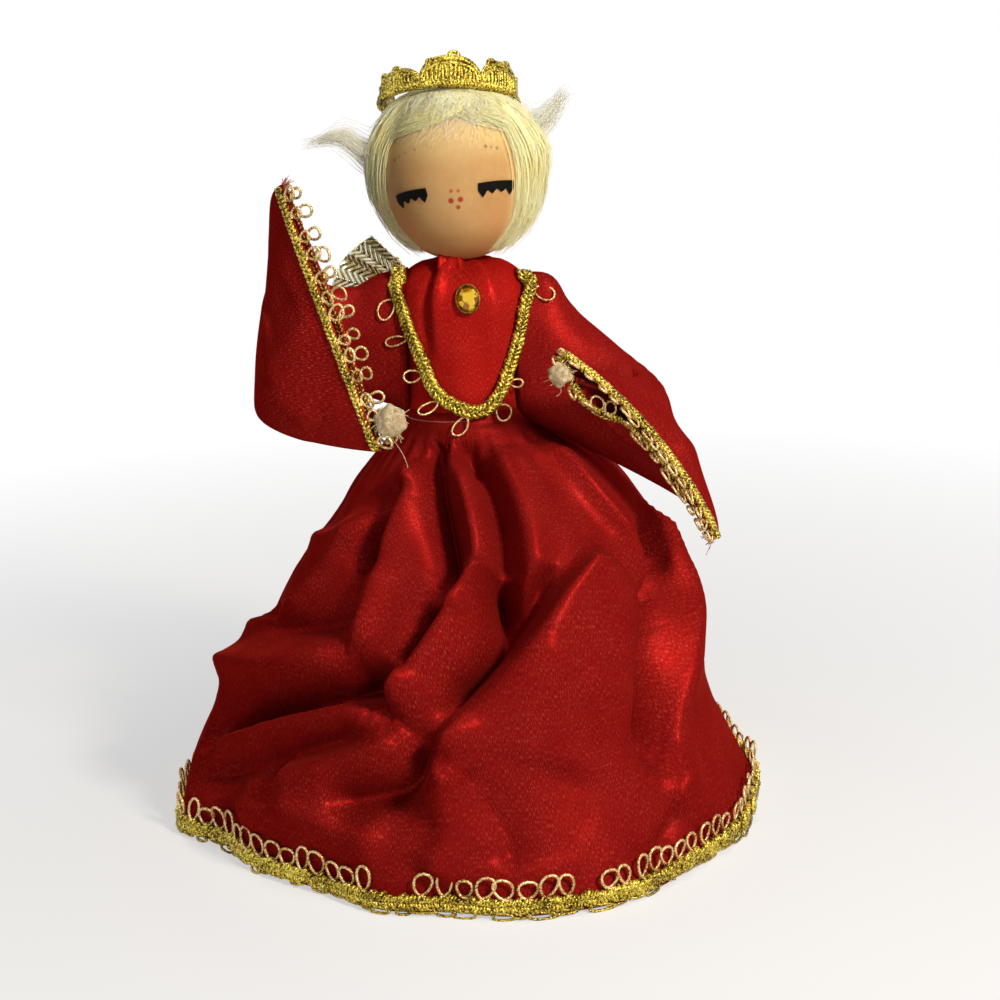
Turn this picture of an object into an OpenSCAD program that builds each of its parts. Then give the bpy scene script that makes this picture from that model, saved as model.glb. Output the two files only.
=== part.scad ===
// Spun cotton angel ornament: a doll with a ball head and wig, a gathered satin
// gown over a card cone, looped gold braid, foil wings and wired bell sleeves.
// Millimetres. The doll stands on z = 0 and faces -Y; its own left is +X.

/* [Cone and torso] */
// height of the card cone that the gown stands on
cone_height = 106; // [80:1:140]
// outer radius of the cone at its foot
cone_foot_radius = 60; // [40:1:70]
// outer radius of the cone at its top
cone_top_radius = 13; // [9:0.5:14]
// card thickness, measured level
cone_wall = 1.2; // [0.6:0.1:3]
// height of the padded torso above the cone
torso_height = 43.5; // [36:0.5:60]
// radius of the round waist
waist_radius = 15; // [14:0.5:18]
// half width of the torso at the chest
chest_half_width = 17.5; // [15:0.5:22]
// half depth of the torso at the chest
chest_half_depth = 13.5; // [11:0.5:17]
// diameter of the stick that joins head and torso
dowel_diameter = 4; // [3:0.25:6]
// depth of the stick in the torso
dowel_sink = 16; // [8:1:24]

/* [Head and hair] */
// width of the spun cotton head
head_width = 40; // [30:1:50]
// height of the spun cotton head
head_height = 43; // [32:1:54]
// gap between the torso and the chin
neck_gap = 1.5; // [1:0.5:6]
// turn of the face towards the doll's right
face_turn = 4; // [-15:1:15]
// thickness of the hair over the skull
hair_thickness = 2.6; // [1:0.1:5]
// extra hair on the doll's left
hair_side_extra = 1.3; // [0:0.1:3]
// how far the hair hangs clear of the neck
hair_hang = 3; // [0:0.2:6]
// angle from the top of the head down to the fringe
fringe_angle = 38; // [32:1:60]
// angle from the top of the head down to the hair ends
hair_end_angle = 128; // [115:1:142]
// half of the angle that the face opening takes
face_half_angle = 58; // [40:1:65]
// width of a paper lash strip
lash_width = 8.6; // [5:0.2:11]
// points on a lash strip
lash_points = 4; // [3:1:6]
// length of a loose wisp of hair
wisp_length = 17; // [8:1:24]

/* [Crown] */
// lean of the crown towards the back
crown_lean = 24; // [0:1:35]
// lean of the crown towards the doll's right
crown_roll = 5; // [-10:1:10]
// angle between the crown's axis and its foot, seen from the middle of the head
crown_spread = 44; // [34:1:52]
// height of the crown's braid
crown_height = 6; // [3:0.2:9]
// radius of a loop on the crown, to the middle of its cord
crown_loop_radius = 1.3; // [1:0.1:2]
// loops round the crown's upper edge
crown_loop_count = 24; // [8:1:26]

/* [Gown] */
// radius of the skirt at the hem
hem_radius = 79; // [72:0.5:90]
// fullness of the skirt on the doll's left, 0 is a barrel and 1 a straight cone
fullness_left = 0.46; // [0.38:0.02:0.7]
// fullness of the skirt on the doll's right
fullness_right = 0.84; // [0.5:0.02:0.9]
// satin thickness of the skirt
skirt_cloth = 0.8; // [0.5:0.1:1.4]
// satin thickness of the bodice and sleeves
bodice_cloth = 0.7; // [0.5:0.1:1.2]
// diameter of the thread that ties the waist
thread_diameter = 0.5; // [0.3:0.05:0.8]

/* [Braid] */
// width of the wide braid on the hem
hem_braid_width = 6; // [3:0.5:9]
// width of the braid on the bodice
bodice_braid_width = 4.6; // [3:0.2:7]
// width of the braid on the sleeves
sleeve_braid_width = 3.4; // [2:0.2:5]
// thickness of the braid
braid_thickness = 1.3; // [0.6:0.1:2]
// diameter of the looped cord
loop_cord = 0.8; // [0.5:0.05:1.1]
// radius of a loop, to the middle of its cord
loop_radius = 2.1; // [1.4:0.1:2.4]
// loops round the hem
hem_loop_count = 80; // [40:1:90]
// loops round the outside of the bodice braid
bodice_loop_count = 12; // [6:1:16]
// loops along one sleeve edge
sleeve_loop_count = 8; // [4:1:8]

/* [Gem] */
// width of the oval stone
gem_width = 6; // [4:0.2:8]
// height of the oval stone as a share of its width
gem_slenderness = 1.2; // [1:0.05:1.5]
// height of the stone's crown
gem_rise = 2.2; // [1:0.1:3]

/* [Arms and wings] */
// height of the shoulder joint under the top of the torso
shoulder_drop = 6.5; // [5:0.5:9]
// diameter of the arm wire
wire_diameter = 1.6; // [1:0.1:2]
// thickness of the pleated foil
foil_thickness = 0.4; // [0.2:0.05:0.8]
// reach of a wing from its root
wing_reach = 32; // [20:1:40]
// pleats on a wing
wing_pleats = 3; // [2:1:8]
// angle of the right wing's upper edge
right_wing_top = 45; // [0:1:55]
// angle of the left wing's upper edge, which droops
left_wing_top = -10; // [-15:1:45]

/* [Hidden] */
fit = 0.1;
lay = 0.3;
clear_gap = 0.4;
waist_z = cone_height;
torso_top = waist_z + torso_height;
shoulder_z = torso_top - shoulder_drop;
cap_start = 0.78;
cap_drop = 0.72;
body_sides = 40;
torso_steps = [0, 0.17, 0.36, 0.55, 0.7, 0.8, 0.88, 0.95, 1];
bodice_foot = 0.17;
bodice_inner = lay;
bodice_outer = lay + bodice_cloth;
skirt_waist = waist_radius + lay + skirt_cloth;
skirt_top = waist_z + torso_height * bodice_foot - lay;
gather_z = waist_z + 2;
hem_z = 0.4;
skirt_sides = 48;
skirt_rings = 12;
thread_z = waist_z + 4.2;
head_z = torso_top + neck_gap + head_height / 2;
dowel_length = dowel_sink + neck_gap + head_height / 2;
eye_radius = wire_diameter + lay;
shoulder_x = chest_half_width + bodice_outer + eye_radius + wire_diameter / 2 + lay;
shoulder_y = -1;
eye_y = shoulder_y - wire_diameter - lay;
wing_plane = chest_half_depth + bodice_outer + lay;
sleeve_sides = 26;
sleeve_rings = 11;
sleeve_root_half = 5.8;
sleeve_mouth_half = 2.5;
sleeve_top_x = chest_half_width + bodice_outer + 2.6;
sleeve_foot_x = chest_half_width + bodice_outer + 6;
wire_sides = 8;
wire_rings = 15;

// folds of the skirt: bearing from the front and height of both ends, width, rise
waist_folds = [
    [[-27, 104], [-80, 76], 9, 4.5],
    [[-31, 92], [-34, 60], 8, 5],
    [[-8, 98], [-2, 76], 7, 5],
    [[18, 100], [17, 72], 8, 5],
    [[52, 100], [63, 65], 8, 4],
    [[-20, 98], [-8, 76], 6, -5],
    [[9, 100], [13, 68], 6, -5]
];
swag_folds = [
    [[11, 80], [-19, 46], 9, 7],
    [[-45, 86], [-92, 52], 9, 4],
    [[-33, 61], [-100, 38], 10, 7],
    [[-30, 51], [-80, 26], 10, -8],
    [[-22, 45], [-100, 13], 11, 8],
    [[47, 80], [5, 50], 11, 10],
    [[5, 50], [-11, 24], 11, 7]
];
side_folds = [
    [[75, 82], [45, 28], 10, -8],
    [[85, 85], [41, 11], 11, 5],
    [[97, 66], [92, 22], 14, -6]
];
skirt_folds = concat(waist_folds, swag_folds, side_folds);
back_gathers = 9;
back_gather_rise = 2.4;
waist_fade = 12;
hem_fade = 14;

// upper and lower edge of each sleeve: shoulder, two guides, mouth
right_sleeve_top = [[-sleeve_top_x, -1, 148], [-38, -2, 130], [-60, -14, 176], [-43.5, -22, 174.7]];
right_sleeve_foot = [[-sleeve_foot_x, -2, 128], [-48, 0, 126], [-76, -20, 111], [-21, -34.5, 111]];
left_sleeve_top = [[sleeve_top_x, -1, 148], [44, 1, 133], [66, -16, 110], [23, -32.5, 132.6]];
left_sleeve_foot = [[sleeve_foot_x, -2, 128], [40, -10, 109], [74, -16, 91], [63, -27, 80]];

$fn = 96;

function unit(v) = v / norm(v);
function mix(a, b, t) = a + (b - a) * t;
function limit(t) = min(max(t, 0), 1);
function ease(t) = let (u = limit(t)) u * u * (3 - 2 * u);
function cubic(p, s) = pow(1 - s, 3) * p[0] + 3 * pow(1 - s, 2) * s * p[1]
    + 3 * (1 - s) * s * s * p[2] + pow(s, 3) * p[3];

// Triangles of the wall between rings that climb, sides counted anticlockwise.
function wall(rings, sides, first, flip) = [
    for (i = [0:rings - 2], j = [0:sides - 1])
        let (k = (j + 1) % sides, a = first + i * sides, b = a + sides)
        each flip ? [[a + j, b + k, b + j], [a + j, a + k, b + k]]
            : [[a + j, b + j, b + k], [a + j, b + k, a + k]]
];

// Triangles that join the ring of an outer skin to the ring of an inner one.
function rim(sides, outer, inner, flip) = [
    for (j = [0:sides - 1])
        let (k = (j + 1) % sides, a = outer + j, b = outer + k, c = inner + k, d = inner + j)
        each flip ? [[a, c, b], [a, d, c]] : [[a, b, c], [a, c, d]]
];

// Triangles from a ring to a single point.
function fan(sides, ring, tip, flip) = [
    for (j = [0:sides - 1])
        let (k = (j + 1) % sides)
        flip ? [ring + j, ring + k, tip] : [ring + k, ring + j, tip]
];

// Solid through a stack of rings, flat at both ends.
module loft(rings) {
    count = len(rings);
    sides = len(rings[0]);
    last = (count - 1) * sides;
    polyhedron([for (ring = rings) each ring], concat(
        [[for (j = [0:sides - 1]) j]],
        [[for (j = [sides - 1:-1:0]) last + j]],
        wall(count, sides, 0, false)));
}

// Thin open sleeve between two stacks of rings.
module shell(outer, inner) {
    count = len(outer);
    sides = len(outer[0]);
    skin = count * sides;
    last = skin - sides;
    polyhedron([for (ring = concat(outer, inner)) each ring], concat(
        wall(count, sides, 0, false), wall(count, sides, skin, true),
        rim(sides, 0, skin, false), rim(sides, last, skin + last, true)));
}

// Thin cap between two stacks of rings, each closed by a point at the top.
module hood(outer, inner, outer_tip, inner_tip) {
    count = len(outer);
    sides = len(outer[0]);
    skin = count * sides;
    polyhedron(concat([for (ring = concat(outer, inner)) each ring], [outer_tip, inner_tip]), concat(
        wall(count, sides, 0, false), wall(count, sides, skin, true), rim(sides, 0, skin, false),
        fan(sides, skin - sides, 2 * skin, false), fan(sides, 2 * skin - sides, 2 * skin + 1, true)));
}

// Round cord of the given points, tapered by the given radii.
module cord(points, radii, sides) {
    last = len(points) - 1;
    loft([for (i = [0:last])
        let (
            along = unit(points[min(i + 1, last)] - points[max(i - 1, 0)]),
            across = unit(cross(abs(along.z) > 0.9 ? [0, 1, 0] : [0, 0, 1], along)),
            up = cross(along, across))
        [for (j = [0:sides - 1])
            points[i] + radii[i] * (cos(360 * j / sides) * across + sin(360 * j / sides) * up)]]);
}

// One loop of cord, open towards -Y, its neck at the origin.
module cord_loop(radius = loop_radius) {
    opening = 60;
    translate([0, radius * cos(opening / 2) + loop_cord / 2, 0])
        rotate([0, 0, opening / 2 - 90])
            rotate_extrude(angle = 360 - opening, $fn = 48)
                translate([radius, 0])
                    circle(d = loop_cord, $fn = 24);
}

// Stand what follows at a point, with its X along a line and its Y across it.
module stand(point, along, across) {
    y = unit(across);
    x = unit(along - y * (along * y));
    z = cross(x, y);
    multmatrix([
        [x.x, y.x, z.x, point.x],
        [x.y, y.y, z.y, point.y],
        [x.z, y.z, z.z, point.z],
        [0, 0, 0, 1]]) children();
}

// Half width and half depth of the torso at a share f of its height.
function torso_cap(f) = sqrt(1 - cap_drop * pow(limit((f - cap_start) / (1 - cap_start)), 2));
function torso_half(f, chest) = mix(waist_radius, chest, ease(f / cap_start)) * torso_cap(f);
function torso_rise(f, grow) = waist_z + torso_height * f + grow * ease((f - cap_start) / (1 - cap_start));
function torso_ring(f, grow) = [
    for (j = [0:body_sides - 1])
        let (a = 360 * j / body_sides)
        [(torso_half(f, chest_half_width) + grow) * cos(a), (torso_half(f, chest_half_depth) + grow) * sin(a),
            torso_rise(f, grow)]
];

module base_cone() {
    color("#B9A98A") difference() {
        cylinder(h = cone_height, r1 = cone_foot_radius, r2 = cone_top_radius);
        cylinder(h = cone_height, r1 = cone_foot_radius - cone_wall, r2 = cone_top_radius - cone_wall);
    }
}

module torso() {
    color("#E4D9C2") difference() {
        translate([0, 0, fit]) loft([for (f = torso_steps) torso_ring(f, 0)]);
        translate([0, 0, torso_top - dowel_sink]) cylinder(h = dowel_sink + 1, d = dowel_diameter + 2 * fit);
        translate([0, shoulder_y, shoulder_z]) rotate([0, 90, 0])
            cylinder(h = 3 * chest_half_width, d = wire_diameter + 2 * fit, center = true);
    }
}

module neck_dowel() {
    color("#C9A878") difference() {
        translate([0, 0, torso_top - dowel_sink + fit]) cylinder(h = dowel_length, d = dowel_diameter);
        translate([0, shoulder_y, shoulder_z]) rotate([0, 90, 0])
            cylinder(h = 2 * dowel_diameter, d = wire_diameter + 2 * fit, center = true);
    }
}

// Distance from the middle of the head to its skin at an angle from the top.
function skull(a) = 1 / norm([sin(a) / (head_width / 2), cos(a) / (head_height / 2)]);

module head() {
    color("#CDA670") translate([0, 0, head_z]) difference() {
        rotate_extrude() polygon([for (a = [0:6:180]) skull(a) * [a == 180 ? 0 : sin(a), cos(a)]]);
        translate([0, 0, -head_height]) cylinder(h = head_height + fit, d = dowel_diameter + 2 * fit);
    }
}

// Point off the head: angle from the top, bearing from the front, height over the skin.
function over_head(a, bearing, height) = [0, 0, head_z]
    + (skull(a) + height) * [sin(a) * sin(bearing), -sin(a) * cos(bearing), cos(a)];

// Paper strip bowed along its top, with points cut along its foot.
lash_band = 1.5;
lash_point = 2.6;
lash_bow = 0.5;
lash_paper = 0.3;
function lash_dip(x) = lash_bow * pow(2 * x / lash_width, 2);

module lash(bearing, a, roll) {
    steps = 2 * lash_points;
    x = [for (i = [0:steps]) lash_width * (i / steps - 0.5)];
    level = [cos(bearing), sin(bearing), 0];
    out = over_head(a, bearing, 0) - [0, 0, head_z];
    color("#17130F") stand(over_head(a, bearing, fit), level, cross(out, level)) rotate([0, 0, roll])
        linear_extrude(lash_paper) polygon(concat(
            [for (v = x) [v, lash_band / 2 - lash_dip(v)]],
            [for (i = [steps:-1:0])
                [x[i], -lash_band / 2 - lash_dip(x[i]) - (i % 2 == 1 ? lash_point : 0)]]));
}

module right_lash() {
    lash(-face_turn - 33, 100, 12);
}

module left_lash() {
    lash(-face_turn + 33, 95, -2);
}

// Hair: how far round and down it comes, and how thick it lies.
function hair_edge(bearing) = ease((abs(bearing) - face_half_angle) / 20);
function hair_end(bearing) = mix(fringe_angle, hair_end_angle, hair_edge(bearing));
function hair_under(bearing) = let (e = hair_edge(bearing)) lay + 4 * hair_edge_lift * e * (1 - e);
function hair_over(a, bearing) = hair_thickness + hair_side_extra * (1 + sin(bearing)) / 2
    + hair_hang * ease((a - 88) / 48);
function hair_ring(share, inner) = [
    for (j = [0:63])
        let (bearing = 360 * j / 64 - 180, a = hair_end(bearing) * share)
        over_head(a, bearing - face_turn, inner ? hair_under(bearing) : hair_over(a, bearing))
];
hair_edge_lift = 1.4;

module wig() {
    shares = [for (i = [10:-1:1]) i / 10];
    color("#E6CB7E") hood(
        [for (s = shares) hair_ring(s, false)], [for (s = shares) hair_ring(s, true)],
        over_head(0, 0, hair_over(0, 0)), over_head(0, 0, lay));
}

// Loose wisp that leaves the hair sideways.
wisp_seat = lay + 0.4;

module wisp(root, tip) {
    steps = 9;
    color("#EBD9A4") cord(
        [for (i = [0:steps]) mix(root, tip, i / steps) + [0, 0, 1.6 * sin(180 * i / steps)]],
        [for (i = [0:steps]) mix(2.1, 0.5, pow(i / steps, 1.4))], 8);
}

module right_wisp() {
    root = over_head(76, -96, hair_over(76, -96 + face_turn) + wisp_seat);
    wisp(root, root + wisp_length * [-1, 0, 0.06]);
}

module left_wisp() {
    root = over_head(52, 98, hair_over(52, 98 + face_turn) + wisp_seat);
    wisp(root, root + 0.6 * wisp_length * unit([1, 0, 0.5]));
}

// Crown: a ring of braid whose foot lies on the hair, round an axis that leans back.
crown_axis = [0, sin(crown_lean), cos(crown_lean)];
crown_sides = 48;
function crown_way(turn) = [
    sin(crown_spread) * sin(turn),
    -sin(crown_spread) * cos(turn) * cos(crown_lean) + cos(crown_spread) * sin(crown_lean),
    sin(crown_spread) * cos(turn) * sin(crown_lean) + cos(crown_spread) * cos(crown_lean)
];
function crown_foot(turn, grow) = let (way = crown_way(turn), a = acos(way.z), bearing = atan2(way.x, -way.y))
    over_head(a, bearing, hair_over(a, bearing + face_turn) + lay + grow * sin(crown_spread))
    + crown_axis * crown_sit;
function crown_ring(rise, grow) = [
    for (j = [0:crown_sides - 1]) crown_foot(360 * j / crown_sides, grow) + crown_axis * rise
];
crown_sit = braid_thickness * tan(crown_spread) / 2;

module crown_place() {
    translate([0, 0, head_z]) rotate([0, -crown_roll, 0]) translate([0, 0, -head_z]) children();
}

module crown_band() {
    color("#C79B2B") crown_place() shell(
        [for (z = [0, crown_height]) crown_ring(z, braid_thickness)],
        [for (z = [0, crown_height]) crown_ring(z, 0)]);
}

module crown_loops() {
    color("#D9B65A") crown_place() for (i = [0:crown_loop_count - 1]) {
        turn = 360 * i / crown_loop_count;
        foot = crown_foot(turn, braid_thickness / 2) + crown_axis * (crown_height + 2 * fit);
        stand(foot, crown_foot(turn + 1, 0) - crown_foot(turn, 0), crown_axis) cord_loop(crown_loop_radius);
    }
}

module bodice() {
    steps = [for (f = torso_steps) if (f >= bodice_foot) f];
    color("#8E0F14") difference() {
        shell([for (f = steps) torso_ring(f, bodice_outer)], [for (f = steps) torso_ring(f, bodice_inner)]);
        translate([0, shoulder_y, shoulder_z]) rotate([0, 90, 0])
            cylinder(h = 3 * chest_half_width, d = wire_diameter + 2 * lay, center = true);
    }
}

// Front of the bodice over a point of its plane, and the way out of it there.
function bodice_share(z) = (z - waist_z) / torso_height;
function front_half(z, chest) = torso_half(limit(bodice_share(z)), chest) + bodice_outer;
function front_point(p) = let (t = min(abs(p[0]) / front_half(p[1], chest_half_width), 0.96))
    [p[0], -front_half(p[1], chest_half_depth) * sqrt(1 - t * t), p[1]];
function front_out(p) = let (dx = [0.2, 0], dz = [0, 0.2])
    unit(cross(front_point(p + dx) - front_point(p - dx), front_point(p + dz) - front_point(p - dz)));

// The braid's route down one side of the bodice, round the waist and up the other.
bodice_route = [[-16.6, torso_top - 0.5], [-13, waist_z - 2.5], [17, waist_z - 3.5], [15.6, torso_top - 3.5]];
function route_low(p) = 1 - ease((p[1] - waist_z - 8) / 12);
function route_high(p) = ease((p[1] - torso_top + 10) / 6);
function route_lift(p) = mix(2 * lay, thread_diameter + 3 * lay, route_low(p)) + route_rise * route_high(p);
route_rise = 1.8;
loop_flare = 72;
function route_point(s) = front_point(cubic(bodice_route, s));
function route_along(s) = unit(route_point(s + 0.01) - route_point(s - 0.01));

module bodice_braid() {
    stations = 36;
    color("#C79B2B") loft([for (i = [0:stations])
        let (
            s = 0.01 + 0.98 * i / stations,
            p = cubic(bodice_route, s),
            out = front_out(p),
            side = unit(cross(route_along(s), out)) * bodice_braid_width / 2,
            base = front_point(p) + out * route_lift(p),
            face = base + out * braid_thickness)
        [base - side, base + side, face + side, face - side]]);
}

module bodice_loops() {
    color("#D9B65A") for (i = [0:bodice_loop_count - 1]) {
        s = 0.08 + 0.84 * i / (bodice_loop_count - 1);
        p = cubic(bodice_route, s);
        out = front_out(p);
        side = unit(cross(route_along(s), out));
        flare = loop_flare * route_low(p);
        edge = out * (route_lift(p) + braid_thickness / 2) + side * (bodice_braid_width / 2 + 3 * fit);
        stand(front_point(p) + edge, -route_along(s), side * cos(flare) + out * sin(flare)) cord_loop();
    }
}

// Place of the gem on the bodice, and its turned profile squeezed to an oval.
gem_point = [1.5, shoulder_z];
gem_lift = 0.9;
foil_rim = 0.5;

function oval_ring(width, z) = [
    for (j = [0:23])
        let (a = 15 * j)
        [width / 2 * cos(a), width / 2 * gem_slenderness * sin(a), z]
];

module gem_place() {
    out = front_out(gem_point);
    stand(front_point(gem_point) + out * lay, [1, 0, 0], cross(out, [1, 0, 0])) children();
}

module gem_foil() {
    color("#8A6A2A") gem_place() shell(
        [for (z = [0, gem_lift]) oval_ring(gem_width + 2 * foil_rim + 2 * fit, z)],
        [for (z = [0, gem_lift]) oval_ring(gem_width + 2 * fit, z)]);
}

module gem_stone() {
    facets = [[1, 0], [0.82, 0.45], [0.42, 1]];
    color("#B4641A") gem_place() loft(concat(
        [oval_ring(gem_width, 0)],
        [for (f = facets) oval_ring(gem_width * f[0], gem_lift + gem_rise * f[1])]));
}

// Skirt: a bell whose fullness changes round it, with folds laid over it.
function bell(bearing, z) = let (
        fall = limit(1 - z / gather_z),
        power = mix(fullness_right, fullness_left, (1 + sin(bearing)) / 2))
    skirt_waist + (hem_radius - skirt_waist) * pow(fall, power);
function fold_span(fold, bearing, z) = let (
        scale = PI / 180 * bell(bearing, z),
        a = [fold[0][0] * scale, fold[0][1]],
        b = [fold[1][0] * scale, fold[1][1]],
        p = [bearing * scale, z],
        t = limit((p - a) * (b - a) / ((b - a) * (b - a))))
    norm(p - mix(a, b, t)) / fold[2];
function folds_at(bearing, z) = [for (f = skirt_folds) f[3] * exp(-pow(fold_span(f, bearing, z), 2))];
function total(v) = v * [for (i = v) 1];
function back_at(bearing, z) = back_gather_rise * ease((abs(bearing) - 85) / 30)
    * cos(back_gathers * bearing) * ease((gather_z - z) / 40);
function skirt_radius(bearing, z) = bell(bearing, z)
    + (total(folds_at(bearing, z)) + back_at(bearing, z))
    * ease((gather_z - z) / waist_fade) * ease((z - hem_z) / hem_fade);
function skirt_point(bearing, z, grow) = let (r = skirt_radius(bearing, z) + grow)
    [r * sin(bearing), -r * cos(bearing), z];
function skirt_bearing(j) = 360 * j / skirt_sides - 180;
function skirt_ring(z, grow) = [for (j = [0:skirt_sides - 1]) skirt_point(skirt_bearing(j), z, grow)];
hem_braid_z = [hem_z, hem_z + hem_braid_width];
skirt_levels = concat(
    [hem_z],
    [for (i = [0:skirt_rings - 2]) mix(gather_z, hem_braid_z[1], pow(1 - i / (skirt_rings - 2), 1.4))],
    [skirt_top]);

module skirt() {
    color("#96101A") shell(
        [for (z = skirt_levels) skirt_ring(z, 0)], [for (z = skirt_levels) skirt_ring(z, -skirt_cloth)]);
}

module waist_thread() {
    color("#D8D2C4") translate([0, 0, thread_z]) rotate_extrude()
        translate([skirt_waist + lay / 2 + thread_diameter / 2, 0]) circle(d = thread_diameter, $fn = 24);
}

// Hem braid: lies on the outside of the skirt's lowest facets, its loops on the next ones.
function hem_point(bearing, z, grow) = mix(
    skirt_point(bearing, skirt_levels[1], grow), skirt_point(bearing, skirt_levels[2], grow),
    (z - skirt_levels[1]) / (skirt_levels[2] - skirt_levels[1]));

module hem_braid() {
    color("#C79B2B") shell(
        [for (z = hem_braid_z) skirt_ring(z, lay + braid_thickness)],
        [for (z = hem_braid_z) skirt_ring(z, lay)]);
}

module hem_loops() {
    grow = 2 * lay + braid_thickness / 2 + 3 * fit;
    color("#D9B65A") for (i = [0:hem_loop_count - 1]) {
        bearing = 360 * i / hem_loop_count - 180;
        foot = hem_point(bearing, hem_braid_z[1] + fit, grow);
        tip = hem_point(bearing, hem_braid_z[1] + 2 * loop_radius, grow);
        stand(foot, [cos(bearing), sin(bearing), 0], tip - foot) cord_loop();
    }
}

// Wing: foil pleated like a fan, from a root behind the shoulder blades, drawn on the
// doll's left from the angle of its upper edge.
wing_root = [4, wing_plane, shoulder_z - 8];
wing_inner = 3;
wing_spread = 54;
pleat_depth = 2;

module wing(top) {
    folds = 2 * wing_pleats;
    function reach(i) = wing_reach * (0.84 + 0.16 * sin(144 - 126 * i / folds));
    function leaf(i, r, back) = let (
            a = top - wing_spread * (1 - i / folds),
            pleat = (i % 2 == 0 ? -1 : 1) * pleat_depth * mix(0.4, 1, r / wing_reach))
        wing_root + [r * cos(a), pleat + back, r * sin(a)];
    color("#9A7B22") loft([for (i = [0:folds]) [
        leaf(i, wing_inner, 0), leaf(i, wing_inner, foil_thickness),
        leaf(i, reach(i), foil_thickness), leaf(i, reach(i), 0)]]);
}

module right_wing() {
    mirror([1, 0, 0]) wing(right_wing_top);
}

module left_wing() {
    wing(left_wing_top);
}

// Wire through the shoulders, each end turned forwards as the pin of an arm's eye.
module shoulder_wire() {
    pin = shoulder_y - eye_y + wire_diameter;
    color("#9AA0A4") translate([0, shoulder_y, shoulder_z]) {
        rotate([0, 90, 0]) cylinder(h = 2 * shoulder_x, d = wire_diameter, center = true);
        for (x = [-shoulder_x, shoulder_x]) translate([x, 0, 0]) {
            sphere(d = wire_diameter);
            rotate([90, 0, 0]) cylinder(h = pin, d = wire_diameter);
        }
    }
}

// Sleeve: a flat bag lofted between its upper and lower edges.
function sleeve_mid(top, foot, s) = (cubic(top, s) + cubic(foot, s)) / 2;
function sleeve_long(top, foot, s) = (cubic(top, s) - cubic(foot, s)) / 2;
function sleeve_along(top, foot, s) = unit(sleeve_mid(top, foot, s + 0.01) - sleeve_mid(top, foot, s - 0.01));
function sleeve_flat(top, foot, s) = unit(cross(sleeve_along(top, foot, s), sleeve_long(top, foot, s)));
function sleeve_half(s) = mix(sleeve_root_half, sleeve_mouth_half, ease(s));
function sleeve_point(top, foot, s, a, grow) = let (long = sleeve_long(top, foot, s))
    sleeve_mid(top, foot, s) + (long + unit(long) * grow) * cos(a)
    + sleeve_flat(top, foot, s) * (sleeve_half(s) + grow) * sin(a);
function sleeve_ring(top, foot, s, grow) = [
    for (j = [0:sleeve_sides - 1]) sleeve_point(top, foot, s, 360 * j / sleeve_sides, grow)
];

module sleeve(top, foot) {
    shares = [for (i = [0:sleeve_rings - 1]) i / (sleeve_rings - 1)];
    color("#96101A") shell(
        [for (s = shares) sleeve_ring(top, foot, s, 0)],
        [for (s = shares) sleeve_ring(top, foot, s, -bodice_cloth)]);
}

// Strip of braid along one layer of the sleeve's mouth.
function mouth_point(top, foot, a, grow, back) = let (step = 1 / (sleeve_rings - 1),
        edge = sleeve_point(top, foot, 1, a, grow), inside = sleeve_point(top, foot, 1 - step, a, grow))
    edge + unit(inside - edge) * back;

module mouth_braid(top, foot, start) {
    stations = 22;
    color("#C79B2B") loft([for (i = [0:stations])
        let (a = start + 24 + 132 * i / stations)
        [mouth_point(top, foot, a, clear_gap, sleeve_braid_width), mouth_point(top, foot, a, clear_gap, fit),
            mouth_point(top, foot, a, clear_gap + braid_thickness, fit),
            mouth_point(top, foot, a, clear_gap + braid_thickness, sleeve_braid_width)]]);
}

module mouth_loops(top, foot, lean, start) {
    grow = clear_gap + braid_thickness / 2;
    color("#D9B65A") for (i = [0:sleeve_loop_count - 1]) {
        share = mix(loop_end, loop_hand_end, i / (sleeve_loop_count - 1)) * sign(lean);
        turn = acos(share);
        a = start == 0 ? turn : 360 - turn;
        edge = mouth_point(top, foot, a, grow, 0);
        rim = unit(mouth_point(top, foot, a + 2, grow, 0) - mouth_point(top, foot, a - 2, grow, 0));
        out = edge - mouth_point(top, foot, a, grow, sleeve_braid_width);
        across = unit(out - rim * (out * rim));
        stand(edge + across * 2 * fit, rim, across) cord_loop();
    }
}
loop_end = -0.8;
loop_hand_end = 0.42;

// Arm wire through the middle of the sleeve, out to the hand at one end of the mouth.
function arm_point(top, foot, s, lean) = sleeve_mid(top, foot, s)
    + sleeve_long(top, foot, s) * lean * ease(s);

module arm_wire(top, foot, lean, side) {
    eye = [side * shoulder_x, eye_y, shoulder_z];
    tip = arm_point(top, foot, 1, lean) + sleeve_along(top, foot, 1) * (hand_reach - hand_radius - lay);
    points = concat(
        [eye + [side * eye_radius, 0, 0]],
        [for (i = [2:wire_rings]) arm_point(top, foot, mix(0.05, 1, i / wire_rings), lean)],
        [tip]);
    color("#9AA0A4") {
        cord(points, [for (i = [0:len(points) - 1]) wire_diameter / 2 * (i == 0 ? 0.7 : 1)], wire_sides);
        translate(eye) rotate([90, 0, 0]) rotate_extrude($fn = 48)
            translate([eye_radius, 0]) circle(d = wire_diameter, $fn = 24);
    }
}

// Hand: a torn lump of cotton on the end of the arm wire, towards the corner of the mouth.
module hand(top, foot, lean) {
    end = arm_point(top, foot, 1, lean);
    along = sleeve_along(top, foot, 1);
    corner = unit(sleeve_long(top, foot, 1)) * sign(lean);
    color("#D9C7A0") hull() {
        translate(end + along * hand_reach) sphere(r = hand_radius, $fn = 12);
        translate(end + along * (hand_reach + 0.6) + corner * 3.6) sphere(r = 1.1 * hand_radius, $fn = 12);
        translate(end + along * (hand_reach + 2) + corner * 2) sphere(r = 0.8 * hand_radius, $fn = 10);
    }
}
hand_radius = 2.2;
hand_reach = 3.8;

right_lean = -0.78;
left_lean = 0.7;

module right_arm_wire() {
    arm_wire(right_sleeve_top, right_sleeve_foot, right_lean, -1);
}

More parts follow.
